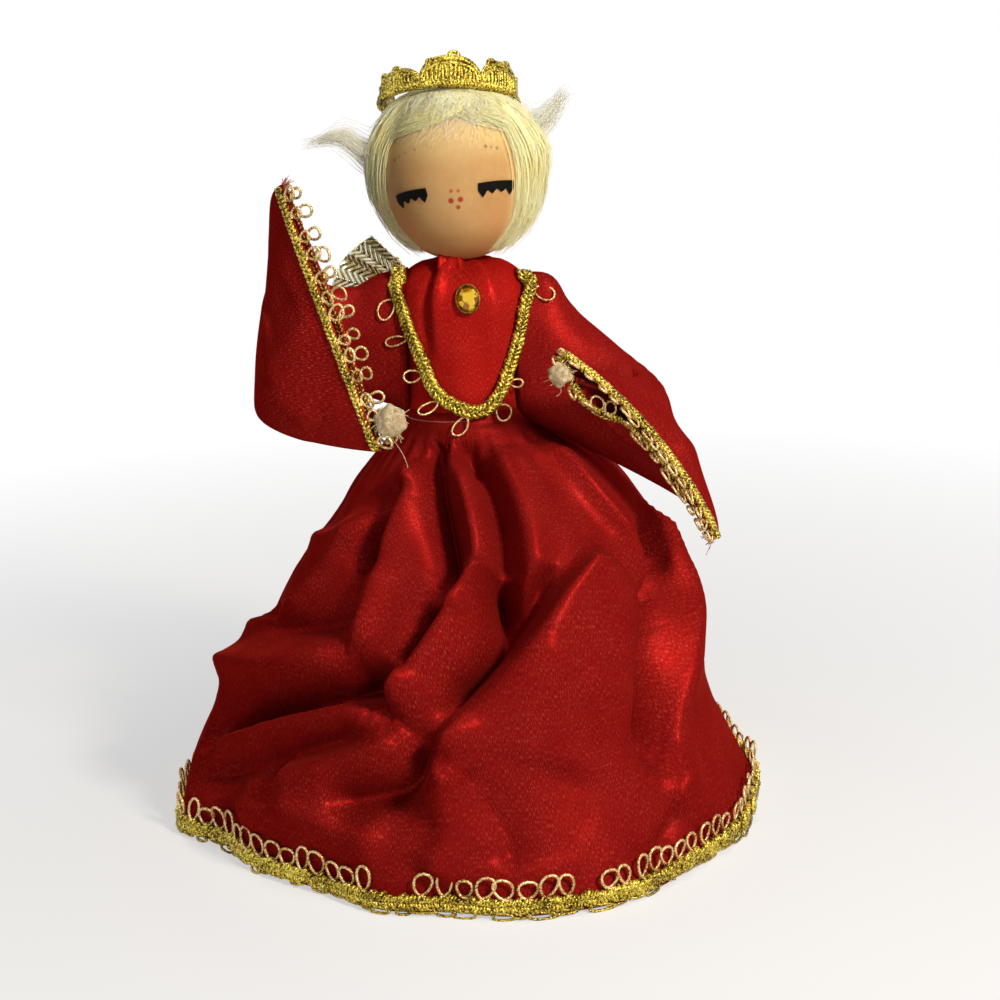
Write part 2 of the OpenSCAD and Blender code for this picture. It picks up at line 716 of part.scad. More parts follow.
module left_arm_wire() {
    arm_wire(left_sleeve_top, left_sleeve_foot, left_lean, 1);
}

module right_hand() {
    hand(right_sleeve_top, right_sleeve_foot, right_lean);
}

module left_hand() {
    hand(left_sleeve_top, left_sleeve_foot, left_lean);
}

module right_sleeve() {
    sleeve(right_sleeve_top, right_sleeve_foot);
}

module left_sleeve() {
    sleeve(left_sleeve_top, left_sleeve_foot);
}

module right_sleeve_front_braid() {
    mouth_braid(right_sleeve_top, right_sleeve_foot, 0);
}

module right_sleeve_back_braid() {
    mouth_braid(right_sleeve_top, right_sleeve_foot, 180);
}

module right_sleeve_front_loops() {
    mouth_loops(right_sleeve_top, right_sleeve_foot, right_lean, 0);
}

module right_sleeve_back_loops() {
    mouth_loops(right_sleeve_top, right_sleeve_foot, right_lean, 180);
}

module left_sleeve_front_braid() {
    mouth_braid(left_sleeve_top, left_sleeve_foot, 0);
}

module left_sleeve_back_braid() {
    mouth_braid(left_sleeve_top, left_sleeve_foot, 180);
}

module left_sleeve_front_loops() {
    mouth_loops(left_sleeve_top, left_sleeve_foot, left_lean, 0);
}

module left_sleeve_back_loops() {
    mouth_loops(left_sleeve_top, left_sleeve_foot, left_lean, 180);
}

base_cone();
torso();
neck_dowel();
head();
right_lash();
left_lash();
wig();
right_wisp();
left_wisp();
crown_band();
crown_loops();
bodice();
bodice_braid();
bodice_loops();
gem_foil();
gem_stone();
skirt();
waist_thread();
hem_braid();
hem_loops();
right_wing();
left_wing();
shoulder_wire();
right_arm_wire();
left_arm_wire();
right_hand();
left_hand();
right_sleeve();
left_sleeve();
right_sleeve_front_braid();
right_sleeve_back_braid();
right_sleeve_front_loops();
right_sleeve_back_loops();
left_sleeve_front_braid();
left_sleeve_back_braid();
left_sleeve_front_loops();
left_sleeve_back_loops();
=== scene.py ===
"""Dressed model of a spun cotton angel ornament.

A doll with a ball head, a wig and a braid crown, in a gathered satin gown trimmed
with looped gold braid, with pleated foil wings and bell sleeves on wire arms.
Lengths are millimetres until a mesh is made. The doll faces -Y and its left is +X.
"""

import logging
import math
import random
from dataclasses import dataclass
from enum import Enum
from typing import Callable, Iterable, Sequence

import bmesh
import bpy
import numpy as np
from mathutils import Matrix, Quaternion, Vector


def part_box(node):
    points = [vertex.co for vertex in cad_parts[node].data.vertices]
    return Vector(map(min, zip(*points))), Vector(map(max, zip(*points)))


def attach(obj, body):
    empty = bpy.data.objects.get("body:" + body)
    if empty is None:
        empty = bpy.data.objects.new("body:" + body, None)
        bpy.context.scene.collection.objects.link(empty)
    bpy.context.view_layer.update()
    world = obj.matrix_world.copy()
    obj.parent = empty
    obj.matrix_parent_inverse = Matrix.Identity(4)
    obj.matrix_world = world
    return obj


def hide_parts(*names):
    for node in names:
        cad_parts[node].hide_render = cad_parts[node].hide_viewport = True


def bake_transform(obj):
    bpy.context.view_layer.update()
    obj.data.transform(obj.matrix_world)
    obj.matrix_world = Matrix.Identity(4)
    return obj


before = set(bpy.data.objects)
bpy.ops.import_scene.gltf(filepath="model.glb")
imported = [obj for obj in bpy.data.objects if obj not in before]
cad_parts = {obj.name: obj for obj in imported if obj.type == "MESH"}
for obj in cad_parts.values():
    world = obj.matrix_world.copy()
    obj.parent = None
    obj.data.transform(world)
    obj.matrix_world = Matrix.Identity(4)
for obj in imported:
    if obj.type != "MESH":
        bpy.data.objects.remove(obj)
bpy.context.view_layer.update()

LOG = logging.getLogger("angel")
MM = 0.001

Points = np.ndarray
Pairs = tuple[tuple[float, float], ...]
Triple = tuple[float, float, float]
Tree = bpy.types.NodeTree
Piece = bpy.types.Object
Mesh = bpy.types.Mesh
Place = Callable[[Points, Points], Points]


class Body(Enum):
    """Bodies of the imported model."""

    TRUNK = "body"
    RIGHT_ARM = "right_arm"
    LEFT_ARM = "left_arm"


class Side(Enum):
    """Sides of the doll, with the sign of X there."""

    RIGHT = -1
    LEFT = 1

    @property
    def word(self) -> str:
        """Name of the side as the nodes write it."""
        return self.name.lower()

    @property
    def arm(self) -> Body:
        """Body of the arm on this side."""
        return Body.RIGHT_ARM if self is Side.RIGHT else Body.LEFT_ARM


# ---------------------------------------------------------------- numbers


def unit(v: Points) -> Points:
    """Vectors of length one along the last axis."""
    return v / np.maximum(np.linalg.norm(v, axis=-1, keepdims=True), 1e-9)


def ease(t: Points | float) -> Points | float:
    """Smooth step from 0 to 1."""
    u = np.clip(t, 0.0, 1.0)
    return u * u * (3 - 2 * u)


def mix(a: Points | float, b: Points | float, t: Points | float) -> Points | float:
    """Straight blend from a to b."""
    return a + (b - a) * t


def swell(x: Points, middle: float, width: float) -> Points:
    """Bell curve of height one."""
    return np.exp(-(((x - middle) / width) ** 2))


def outward(bearing: Points) -> Points:
    """Level ways out of the doll's axis at bearings from the front."""
    b = np.radians(bearing)
    return np.stack([np.sin(b), -np.cos(b), np.zeros_like(b)], axis=-1)


def read_pairs(x: Points, pairs: Pairs) -> Points:
    """Values between those of a list of places and values."""
    return np.interp(x, *zip(*pairs))


def scatter(rng: random.Random) -> Points:
    """A random vector, most often about one long each way."""
    return np.array([rng.gauss(0, 1) for _ in range(3)])


def cubic(guides: Sequence[Sequence[float]], s: Points) -> Points:
    """Points of a cubic curve.

    Args:
        guides: start, two guides and end of the curve.
        s: shares of the way along it.

    Returns:
        One row of x, y, z for each share.
    """
    p = np.asarray(guides, float)
    t = np.asarray(s, float)[..., None]
    return (1 - t) ** 3 * p[0] + 3 * (1 - t) ** 2 * t * p[1] + 3 * (1 - t) * t**2 * p[2] + t**3 * p[3]


def smooth_line(knots: Points, count: int) -> Points:
    """Even points on a smooth line through knots.

    Args:
        knots: rows that the line passes through.
        count: number of points wanted.

    Returns:
        The points, one row each.
    """
    k = np.asarray(knots, float)
    ends = np.vstack([2 * k[0] - k[1], k, 2 * k[-1] - k[-2]])
    span = np.linspace(0, len(k) - 1 - 1e-6, 24 * len(k))
    i = span.astype(int)
    t = (span - i)[:, None]
    a, b, c, d = ends[i], ends[i + 1], ends[i + 2], ends[i + 3]
    line = 0.5 * (2 * b + (c - a) * t + (2 * a - 5 * b + 4 * c - d) * t**2 + (3 * b - a - 3 * c + d) * t**3)
    run = np.r_[0, np.cumsum(np.linalg.norm(np.diff(line, axis=0), axis=1))]
    want = np.linspace(0, run[-1], count)
    return np.stack([np.interp(want, run, line[:, j]) for j in range(k.shape[1])], axis=1)


@dataclass
class Route:
    """A line that trim is laid along, with the way out of the cloth at each point."""

    points: Points
    out: Points
    closed: bool = False

    def __post_init__(self) -> None:
        """Close the line and measure along it."""
        if self.closed:
            self.points = np.vstack([self.points, self.points[:1]])
            self.out = np.vstack([self.out, self.out[:1]])
        self.run = np.r_[0, np.cumsum(np.linalg.norm(np.diff(self.points, axis=0), axis=1))]

    @property
    def length(self) -> float:
        """Length of the line."""
        return float(self.run[-1])

    def at(self, reach: Points) -> tuple[Points, Points, Points, Points]:
        """Places along the line.

        Args:
            reach: distances from its start.

        Returns:
            Points, the way along, the way across and the way out.
        """

        def read(rows: Points, shift: float) -> Points:
            """Rows between those of the line, a little before or after the places."""
            where = np.mod(near + shift, self.length) if self.closed else np.clip(near + shift, 0, self.length)
            return np.stack([np.interp(where, self.run, rows[:, j]) for j in range(3)], axis=-1)

        near, step = np.asarray(reach, float), 0.4
        near = np.mod(near, self.length) if self.closed else np.clip(near, 0, self.length)
        point, out = read(self.points, 0.0), unit(read(self.out, 0.0))
        along = unit(read(self.points, step) - read(self.points, -step))
        out = unit(out - along * np.sum(out * along, axis=-1, keepdims=True))
        return point, along, np.cross(along, out), out


# ---------------------------------------------------------------- finishes


def linear(code: str) -> tuple[float, float, float, float]:
    """Linear colour of an sRGB hex code."""
    channels = [int(code[i : i + 2], 16) / 255 for i in (1, 3, 5)]
    return tuple(c / 12.92 if c <= 0.04045 else ((c + 0.055) / 1.055) ** 2.4 for c in channels) + (1.0,)


def feed(tree: Tree, node: bpy.types.Node, inputs: dict) -> None:
    """Set or link inputs of a node.

    Args:
        tree: node tree that it is in.
        node: node to feed.
        inputs: values, or sockets to link, by input name or number.
    """
    for key, value in inputs.items():
        if isinstance(value, bpy.types.NodeSocket):
            tree.links.new(value, node.inputs[key])
        else:
            node.inputs[key].default_value = value


def add_node(
    tree: Tree, kind: str, inputs: dict | None = None, stops: Sequence[tuple[float, str]] = (), **settings
) -> bpy.types.bpy_prop_collection:
    """Add a node with its settings and links.

    Args:
        tree: node tree that takes it.
        kind: last part of the node's type name.
        inputs: values, or sockets to link, by input name or number.
        stops: place and hex code of each colour, where the node has a colour ramp.
        settings: attributes of the node.

    Returns:
        The node's outputs.
    """
    node = tree.nodes.new("ShaderNode" + kind)
    for key, value in settings.items():
        setattr(node, key, value)
    feed(tree, node, inputs or {})
    if stops:
        elements = node.color_ramp.elements
        while len(elements) < len(stops):
            elements.new(0.5)
        for element, (place, code) in zip(elements, stops):
            element.position, element.color = place, linear(code)
    return node.outputs


def per_metre(size: float) -> float:
    """Texture scale on Object coordinates for a feature of this many millimetres."""
    return 1.0 / (size * MM)


@dataclass(frozen=True)
class Finish:
    """A material, made once and named for what it is."""

    name: str

    def material(self) -> bpy.types.Material:
        """The material, made on first use.

        Returns:
            The material.
        """
        found = bpy.data.materials.get(self.name)
        if found:
            return found
        made = bpy.data.materials.new(self.name)
        made.use_nodes = True
        self.paint(made.node_tree, made.node_tree.nodes["Principled BSDF"])
        return made

    def paint(self, tree: Tree, shader: bpy.types.Node) -> None:
        """Lay this finish's nodes into a tree with the given shader."""
        raise NotImplementedError


@dataclass(frozen=True)
class Satin(Finish):
    """Acetate satin: long floats give a soft gloss and a fine rib; pale specks painted into its colour stand for the
    glints of its threads.
    """

    lit: str = "#9A1815"
    deep: str = "#640B0B"
    glint_colour: str = "#E08A78"
    thread: float = 0.14
    patch: float = 13.0
    relief: float = 0.05

    def paint(self, tree: Tree, shader: bpy.types.Node) -> None:
        """Weave, pale specks and broad tone; the specks are painted glints of thread, and the thread is drawn coarser
        than life so that it shows.

        Args:
            tree: node tree of the material.
            shader: its main shader.
        """
        uv = add_node(tree, "TexCoord")["UV"]
        drawn = add_node(tree, "Mapping", {"Vector": uv, "Scale": (1.0, 0.15, 1.0)})["Vector"]
        grain = add_node(tree, "TexNoise", {"Vector": drawn, "Scale": 1 / self.thread, "Detail": 1.0})["Fac"]
        tone = add_node(tree, "TexNoise", {"Vector": uv, "Scale": 1 / self.patch, "Detail": 2.0})["Fac"]
        wash = add_node(tree, "Math", {0: tone, 1: 0.2}, operation="MULTIPLY")[0]
        blend = add_node(tree, "Math", {0: grain, 1: 0.8, 2: wash}, operation="MULTIPLY_ADD")[0]
        cloth = add_node(tree, "ValToRGB", {"Fac": blend}, [(0.22, self.deep), (0.72, self.lit)])["Color"]
        most = {"Value": tone, "From Min": 0.35, "From Max": 0.65, "To Min": 0.1, "To Max": 0.26}
        # pale specks where the grain is high: painted glints of thread
        glint_share = {"Value": grain, "From Min": 0.58, "From Max": 0.74, "To Max": add_node(tree, "MapRange", most)[0]}
        glint_mix = {"Factor": add_node(tree, "MapRange", glint_share)[0], 6: cloth, 7: linear(self.glint_colour)}
        feed(tree, shader, {
            "Base Color": add_node(tree, "Mix", glint_mix, data_type="RGBA")[2],
            "Roughness": add_node(tree, "MapRange", {"Value": grain, "To Min": 0.46, "To Max": 0.36})[0],
            "Metallic": 0.2,
            "Specular IOR Level": 0.0,
            "Specular Tint": linear("#E0402C"),
            "Sheen Weight": 0.14,
            "Sheen Roughness": 0.35,
            "Sheen Tint": linear("#FF4E38"),
            "Normal": add_node(tree, "Bump", {"Height": grain, "Distance": self.relief * MM, "Strength": 0.05})[0],
        })


@dataclass(frozen=True)
class MetalThread(Finish):
    """Metal wrapped thread: narrow bright turns with painted shade in the gaps between, gold all through."""

    gap_shade: str = "#2A2204"
    body: str = "#9C7E17"
    bright: str = "#F0DE62"
    turn: float = 0.55
    metallic: float = 0.72
    patch: float = 7.0
    relief: float = 0.25

    def paint(self, tree: Tree, shader: bpy.types.Node) -> None:
        """Speckle of turns with painted shade between them, drawn as coarse as it needs to show.

        Args:
            tree: node tree of the material.
            shader: its main shader.
        """
        place = add_node(tree, "TexCoord")["Object"]
        speckle = {"Vector": place, "Scale": per_metre(self.turn), "Detail": 2.0, "Roughness": 0.6}
        turns = add_node(tree, "TexNoise", speckle)["Fac"]
        tone = add_node(tree, "TexNoise", {"Vector": place, "Scale": per_metre(self.patch), "Detail": 1.0})["Fac"]
        value = add_node(tree, "Math", {0: tone, 1: 0.3, 2: turns}, operation="MULTIPLY_ADD")[0]
        # the lowest stop is painted shade in the gaps between the turns
        gold = [(0.5, self.gap_shade), (0.62, self.body), (0.76, self.bright)]
        feed(tree, shader, {
            "Base Color": add_node(tree, "ValToRGB", {"Fac": value}, gold)["Color"],
            "Metallic": self.metallic,
            "Roughness": add_node(tree, "MapRange", {"Value": turns, "To Min": 0.48, "To Max": 0.24})[0],
            "Normal": add_node(tree, "Bump", {"Height": turns, "Distance": self.relief * MM, "Strength": 0.7})[0],
        })


@dataclass(frozen=True)
class Mohair(Finish):
    """Combed mohair: pale fibres that let light through, in streaks of darker and paler tone."""

    root: str = "#FCEB9A"
    pale: str = "#FFFCCB"
    streak: float = 1.1
    lock: float = 9.0
    relief: float = 0.3

    def paint(self, tree: Tree, shader: bpy.types.Node) -> None:
        """Streaks of tone along the fibres and a soft gloss.

        Args:
            tree: node tree of the material.
            shader: its main shader.
        """
        place = add_node(tree, "TexCoord")["Object"]
        streak = add_node(tree, "TexNoise", {"Vector": place, "Scale": per_metre(self.streak), "Detail": 3.0})["Fac"]
        lock = add_node(tree, "TexNoise", {"Vector": place, "Scale": per_metre(self.lock), "Detail": 1.0})["Fac"]
        value = add_node(tree, "Math", {0: lock, 1: 0.5, 2: streak}, operation="MULTIPLY_ADD")[0]
        feed(tree, shader, {
            "Base Color": add_node(tree, "ValToRGB", {"Fac": value}, [(0.4, self.root), (0.78, self.pale)])["Color"],
            "Roughness": 0.5,
            "Sheen Weight": 0.2,
            "Subsurface Weight": 0.25,
            "Subsurface Radius": (0.003, 0.002, 0.001),
            "Normal": add_node(tree, "Bump", {"Height": streak, "Distance": self.relief * MM, "Strength": 0.4})[0],
        })


@dataclass(frozen=True)
class Spot:
    """A soft patch of colour on the face: where, how big and what colour. Some are painted marks, some painted shade
    and light.
    """

    at: Triple
    radius: float
    code: str
    weight: float
    soft: float = 0.5


@dataclass(frozen=True)
class PaintedCotton(Finish):
    """Spun cotton pressed on a ball and tinted: matt, faintly fibrous, with painted marks, painted shade under the
    chin and on its right side, a painted lighter forehead and a veil of hair.
    """

    spots: tuple[Spot, ...] = ()
    stray: str = "#F2DF9A"
    shade: str = "#C39459"
    tint: str = "#D6AC76"
    fibre: float = 1.6
    patch: float = 16.0
    comb: float = 0.7
    relief: float = 0.05

    def paint(self, tree: Tree, shader: bpy.types.Node) -> None:
        """Skin tone with fibres, then the thin hair and each spot over it: marks, painted shade and painted light.

        Args:
            tree: node tree of the material.
            shader: its main shader.
        """
        place = add_node(tree, "TexCoord")["Object"]
        fibre = add_node(tree, "TexNoise", {"Vector": place, "Scale": per_metre(self.fibre), "Detail": 5.0})["Fac"]
        broad = add_node(tree, "TexNoise", {"Vector": place, "Scale": per_metre(self.patch), "Detail": 2.0})["Fac"]
        thin = add_node(tree, "Math", {0: fibre, 1: 0.25}, operation="MULTIPLY")[0]
        value = add_node(tree, "Math", {0: broad, 1: 0.75, 2: thin}, operation="MULTIPLY_ADD")[0]
        colour = add_node(tree, "ValToRGB", {"Fac": value}, [(0.3, self.shade), (0.7, self.tint)])["Color"]
        combed = add_node(tree, "Mapping", {"Vector": place, "Scale": (1.0, 1.0, 0.3)})["Vector"]
        streak = add_node(tree, "TexNoise", {"Vector": combed, "Scale": per_metre(self.comb), "Detail": 3.0})["Fac"]
        locks = {"Value": streak, "From Min": 0.3, "From Max": 0.7, "To Min": 0.3, "To Max": 0.9}
        thick = add_node(tree, "MapRange", locks)["Result"]
        veil = add_node(tree, "Attribute", attribute_name="veil")["Fac"]
        layers = [(add_node(tree, "Math", {0: veil, 1: thick}, operation="MULTIPLY")[0], self.stray)]
        for spot in self.spots:
            middle = [c * MM for c in spot.at]
            far = add_node(tree, "VectorMath", {0: place, 1: middle}, operation="DISTANCE")["Value"]
            fade = {
                "Value": far, "From Min": spot.radius * (1 - spot.soft) * MM, "From Max": spot.radius * MM,
                "To Min": spot.weight, "To Max": 0.0,
            }
            layers.append((add_node(tree, "MapRange", fade, interpolation_type="SMOOTHSTEP")[0], spot.code))
        for share, code in layers:
            colour = add_node(tree, "Mix", {"Factor": share, 6: colour, 7: linear(code)}, data_type="RGBA")[2]
        feed(tree, shader, {
            "Base Color": colour,
            "Roughness": 0.72,
            "Specular IOR Level": 0.3,
            "Subsurface Weight": 0.08,
            "Subsurface Radius": (0.002, 0.001, 0.0006),
            "Normal": add_node(tree, "Bump", {"Height": fibre, "Distance": self.relief * MM, "Strength": 0.25})[0],
        })


@dataclass(frozen=True)
class Grained(Finish):
    """A plain stuff with a grain: paper, card, wood, wire, cotton or thread."""

    low: str = "#000000"
    high: str = "#FFFFFF"
    grain: float = 1.0
    stretch: Triple = (1.0, 1.0, 1.0)
    rough: float = 0.8
    metallic: float = 0.0
    depth: float = 0.1
    shine: float = 0.5

    def paint(self, tree: Tree, shader: bpy.types.Node) -> None:
        """Grain in colour and relief.

        Args:
            tree: node tree of the material.
            shader: its main shader.
        """
        place = add_node(tree, "TexCoord")["Object"]
        drawn = add_node(tree, "Mapping", {"Vector": place, "Scale": self.stretch})["Vector"]
        grain = add_node(tree, "TexNoise", {"Vector": drawn, "Scale": per_metre(self.grain), "Detail": 4.0})["Fac"]
        feed(tree, shader, {
            "Base Color": add_node(tree, "ValToRGB", {"Fac": grain}, [(0.3, self.low), (0.7, self.high)])["Color"],
            "Roughness": self.rough,
            "Metallic": self.metallic,
            "Specular IOR Level": self.shine,
            "Normal": add_node(tree, "Bump", {"Height": grain, "Distance": self.depth * MM, "Strength": 0.5})[0],
        })


@dataclass(frozen=True)
class FoiledGlass(Finish):
    """Moulded amber glass with foil behind it: each facet throws back light at its own depth, painted into the amber.
    """

    patch: float = 1.5
    relief: float = 0.05

    def paint(self, tree: Tree, shader: bpy.types.Node) -> None:
        """Amber painted deeper and brighter patch by patch as the light its facets throw back, under a clear polish.

        Args:
            tree: node tree of the material.
            shader: its main shader.
        """
        place = add_node(tree, "TexCoord")["Object"]
        cells = add_node(tree, "TexVoronoi", {"Vector": place, "Scale": per_metre(self.patch)})["Color"]
        grey = add_node(tree, "RGBToBW", {"Color": cells})["Val"]
        # deeper and brighter amber by cell: painted reflections of the facets
        amber = [(0.2, "#4A2A02"), (0.5, "#A86C04"), (0.8, "#EAC016")]
        feed(tree, shader, {
            "Base Color": add_node(tree, "ValToRGB", {"Fac": grey}, amber)["Color"],
            "Metallic": 0.55,
            "Roughness": 0.1,
            "Coat Weight": 0.5,
            "Coat Roughness": 0.03,
            "Normal": add_node(tree, "Bump", {"Height": grey, "Distance": self.relief * MM, "Strength": 0.2})[0],
        })


@dataclass(frozen=True)
class EmbossedFoil(Finish):
    """Gold paper foil, embossed with veins like a leaf: mirror bright ribs over olive gold."""

    vein: float = 1.5
    relief: float = 0.1

    def paint(self, tree: Tree, shader: bpy.types.Node) -> None:
        """Random patches of tone up to near white, painted highlights of the foil; the veins are in the mesh.

        Args:
            tree: node tree of the material.
            shader: its main shader.
        """
        uv = add_node(tree, "TexCoord")["UV"]
        glare_patch = add_node(tree, "TexNoise", {"Vector": uv, "Scale": 1 / self.vein, "Detail": 2.0})["Fac"]
        # the near white stops are painted highlights of the foil
        gold = [(0.3, "#B8A248"), (0.46, "#F0E8B8"), (0.62, "#FFFFF4")]
        feed(tree, shader, {
            "Base Color": add_node(tree, "ValToRGB", {"Fac": glare_patch}, gold)["Color"],
            "Metallic": 0.8,
            "Roughness": 0.22,
            "Normal": add_node(tree, "Bump", {"Height": glare_patch, "Distance": self.relief * MM, "Strength": 0.4})[0],
        })


FACE_MARKS_AND_PAINTED_SHADING = (
    # painted shade under the chin and on the doll's right side of the face
    Spot((2.0, -8.0, 150.0), 19.0, "#A9713F", 0.75, 0.9),
    Spot((-21.0, -6.0, 160.0), 13.0, "#B4803F", 0.5, 1.0),
    # painted cheeks
    Spot((-13.5, -11.0, 162.0), 8.0, "#D8905C", 0.5, 1.0),
    Spot((9.5, -15.5, 163.4), 8.0, "#D8965E", 0.45, 1.0),
    # painted light on the forehead
    Spot((-2.0, -16.0, 184.0), 13.0, "#E3C089", 0.5, 1.0),
    # painted nose, mouth and brows
    Spot((-1.7, -19.9, 171.7), 0.62, "#B5462E", 0.8),
    Spot((0.1, -20.0, 171.7), 0.55, "#B5462E", 0.8),
    Spot((-1.8, -19.7, 169.2), 0.95, "#A83020", 0.95),
    Spot((0.6, -19.8, 169.5), 0.95, "#A83020", 0.95),
    Spot((0.0, -19.4, 167.5), 0.75, "#A83020", 0.9),
    Spot((-15.9, -10.7, 178.7), 0.8, "#6E5236", 0.75, 0.9),
    Spot((-14.6, -12.0, 179.7), 0.6, "#7E6040", 0.5, 0.9),
    Spot((-13.1, -13.1, 180.7), 0.6, "#7E6040", 0.5, 0.9),
    Spot((-10.6, -14.7, 181.6), 0.6, "#7E6040", 0.5, 0.9),
    Spot((7.3, -16.3, 182.2), 0.75, "#6E5236", 0.75, 0.9),
    Spot((8.8, -15.7, 181.9), 0.6, "#7E6040", 0.55, 0.9),
    Spot((10.2, -15.0, 181.5), 0.75, "#6E5236", 0.7, 0.9),
    Spot((12.9, -13.7, 179.7), 0.55, "#7E6040", 0.5, 0.9),
)

SATIN = Satin("red acetate satin")
# lighter copy of the satin for the bodice and the neck: painted light on the front
SATIN_PAINTED_LIGHTER = Satin("red acetate satin drawn taut", "#BC1F19", "#93100E")
BRAID = MetalThread("gold metal thread braid")
WORN_BRAID = MetalThread("worn gold metal thread braid", "#221A04", "#94791E", "#E0C75C")
CORD = MetalThread("pale gold wrapped cord", "#7A5420", "#D2A65C", "#FBE6B0", 0.45, 0.6)
# darker copy of the wrapped cord for the loops crushed under the hem braid: painted shade
CORD_PAINTED_DARKER = MetalThread("rubbed gold wrapped cord", "#2E2406", "#8F7420", "#D9BE5A", 0.5, 0.7)
HAIR = Mohair("blonde combed mohair")
PALE_HAIR = Mohair("white loose mohair", "#FBF2D4", "#FFFFF0")
COTTON_HEAD = PaintedCotton("tinted spun cotton", FACE_MARKS_AND_PAINTED_SHADING)
LASH = Grained("black coated paper", "#050404", "#0E0B0A", 0.8, rough=0.7, depth=0.05, shine=0.08)
TORN_COTTON = Grained("torn cotton wool", "#A98F66", "#E2D2AE", 1.1, rough=0.95, depth=0.4)
FRAY = Grained("frayed satin threads", "#94221C", "#D98F80", 0.6, rough=0.6, depth=0.02)
CARD = Grained("grey pulp card", "#A08E6E", "#C6B592", 1.6, (1.0, 1.0, 0.4), rough=0.9)
PULP = Grained("pressed paper pulp", "#CFC3A8", "#E9E0CC", 2.2, rough=0.92, depth=0.2)
BIRCH = Grained("turned birch stick", "#B08A58", "#D8B684", 1.2, (1.0, 1.0, 0.12), rough=0.6)
WOUND_WIRE = Grained("wire wound with red thread", "#4E0C0A", "#861814", 0.5, rough=0.75, depth=0.1, shine=0.1)
STEEL = Grained("drawn steel wire", "#7C8084", "#B9BDC0", 0.5, rough=0.35, metallic=1.0, depth=0.02)
CLEAR_THREAD = Grained("clear sewing thread", "#8E3028", "#C88A7E", 0.6, rough=0.4, depth=0.02)
GLASS = FoiledGlass("foiled amber glass")
SETTING = Grained("stamped brass setting", "#3A2A0C", "#8A6A24", 0.9, rough=0.35, metallic=0.9, depth=0.05)
FOIL = EmbossedFoil("embossed gold foil")


# ---------------------------------------------------------------- meshes


def stand(name: str, data: bpy.types.ID) -> Piece:
    """Put a new object with this data in the scene.

    Args:
        name: name of the object.
        data: its mesh, curve, lamp or camera.

    Returns:
        The object.
    """
    made = bpy.data.objects.new(name, data)
    bpy.context.scene.collection.objects.link(made)
    return made


def mesh_of(bm: bmesh.types.BMesh, name: str) -> Mesh:
    """Mesh of what was built, which is then freed.

    Args:
        bm: what was built.
        name: name of the mesh.

    Returns:
        The mesh.
    """
    mesh = bpy.data.meshes.new(name)
    bm.to_mesh(mesh)
    bm.free()
    return mesh


def piece(
    name: str, mesh: Mesh, finish: Finish, slot: str, body: Body | None, *nodes: str, smooth: bool = True
) -> Piece:
    """Make a piece of a mesh and put it in the scene, on its body.

    Args:
        name: name of the piece.
        mesh: its mesh, in metres.
        finish: its finish.
        slot: name of the slot for its finish; not used.
        body: body that it rides on, or None to leave it on no body.
        nodes: CAD nodes that it stands for.
        smooth: shade it smooth.

    Returns:
        The piece.
    """
    mesh.name = name
    mesh.polygons.foreach_set("use_smooth", [smooth] * len(mesh.polygons))
    made = stand(name, mesh)
    mesh.materials.clear()
    mesh.materials.append(finish.material())
    if nodes:
        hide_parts(*nodes)
    if body is not None:
        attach(made, body.value)
    LOG.info("%s: %d faces", name, len(mesh.polygons))
    return made


def sheet_mesh(
    place: Place, columns: int, rows: int, size: tuple[float, float], wrap: bool = False, flip: bool = False
) -> Mesh:
    """Cloth from a grid that is set in place.

    Args:
        place: points for shares across and up.
        columns: faces across.
        rows: faces up.
        size: width and length of the flat map in millimetres.
        wrap: join the first column to the last.
        flip: turn its faces over.

    Returns:
        The mesh, in metres, with its flat size as UV map.
    """
    bm = bmesh.new()
    uv = bm.loops.layers.uv.new("UVMap")
    bmesh.ops.create_grid(bm, x_segments=columns, y_segments=rows, size=0.5, calc_uvs=True)
    share = np.array([v.co[:2] for v in bm.verts]) + 0.5
    where = place(share[:, 0], share[:, 1]) * MM
    for vert, co in zip(bm.verts, where):
        vert.co = co
    for face in bm.faces:
        for loop in face.loops:
            loop[uv].uv = (loop[uv].uv[0] * size[0], loop[uv].uv[1] * size[1])
    if wrap:
        bmesh.ops.remove_doubles(bm, verts=bm.verts, dist=1e-6)
    if flip:
        bmesh.ops.reverse_faces(bm, faces=bm.faces)
    return mesh_of(bm, "sheet")


def cord_mesh(
    tracks: Iterable[Points], radius: float | Sequence[Points], sides: int = 6, closed: bool = False
) -> Mesh:
    """Round cords along tracks.

    Args:
        tracks: points of each cord in millimetres.
        radius: one radius, or one for each point of each track.
        sides: 4, 6 or 8 faces round a cord.
        closed: join the ends of each cord.

    Returns:
        The mesh, in metres.
    """
    curve = bpy.data.curves.new("cord", "CURVE")
    curve.dimensions = "3D"
    even = isinstance(radius, (int, float))
    curve.bevel_depth = (radius if even else 1.0) * MM
    curve.bevel_resolution = (sides - 4) // 2
    curve.use_fill_caps = True
    for i, track in enumerate(tracks):
        line = curve.splines.new("POLY")
        line.points.add(len(track) - 1)
        line.points.foreach_set("co", np.c_[np.asarray(track) * MM, np.ones(len(track))].ravel())
        if not even:
            line.points.foreach_set("radius", np.asarray(radius[i], float))
        line.use_cyclic_u = closed
    carrier = stand("cord", curve)
    mesh = bpy.data.meshes.new_from_object(carrier)
    bpy.data.objects.remove(carrier)
    bpy.data.curves.remove(curve)
    return mesh


def cloth_thickness(made: Piece, thickness: float) -> None:
    """Give a sheet its thickness, inwards.

    Args:
        made: the sheet.
        thickness: millimetres of cloth.
    """
    wall = made.modifiers.new("cloth thickness", "SOLIDIFY")
    wall.thickness = thickness * MM
    wall.offset = -1.0


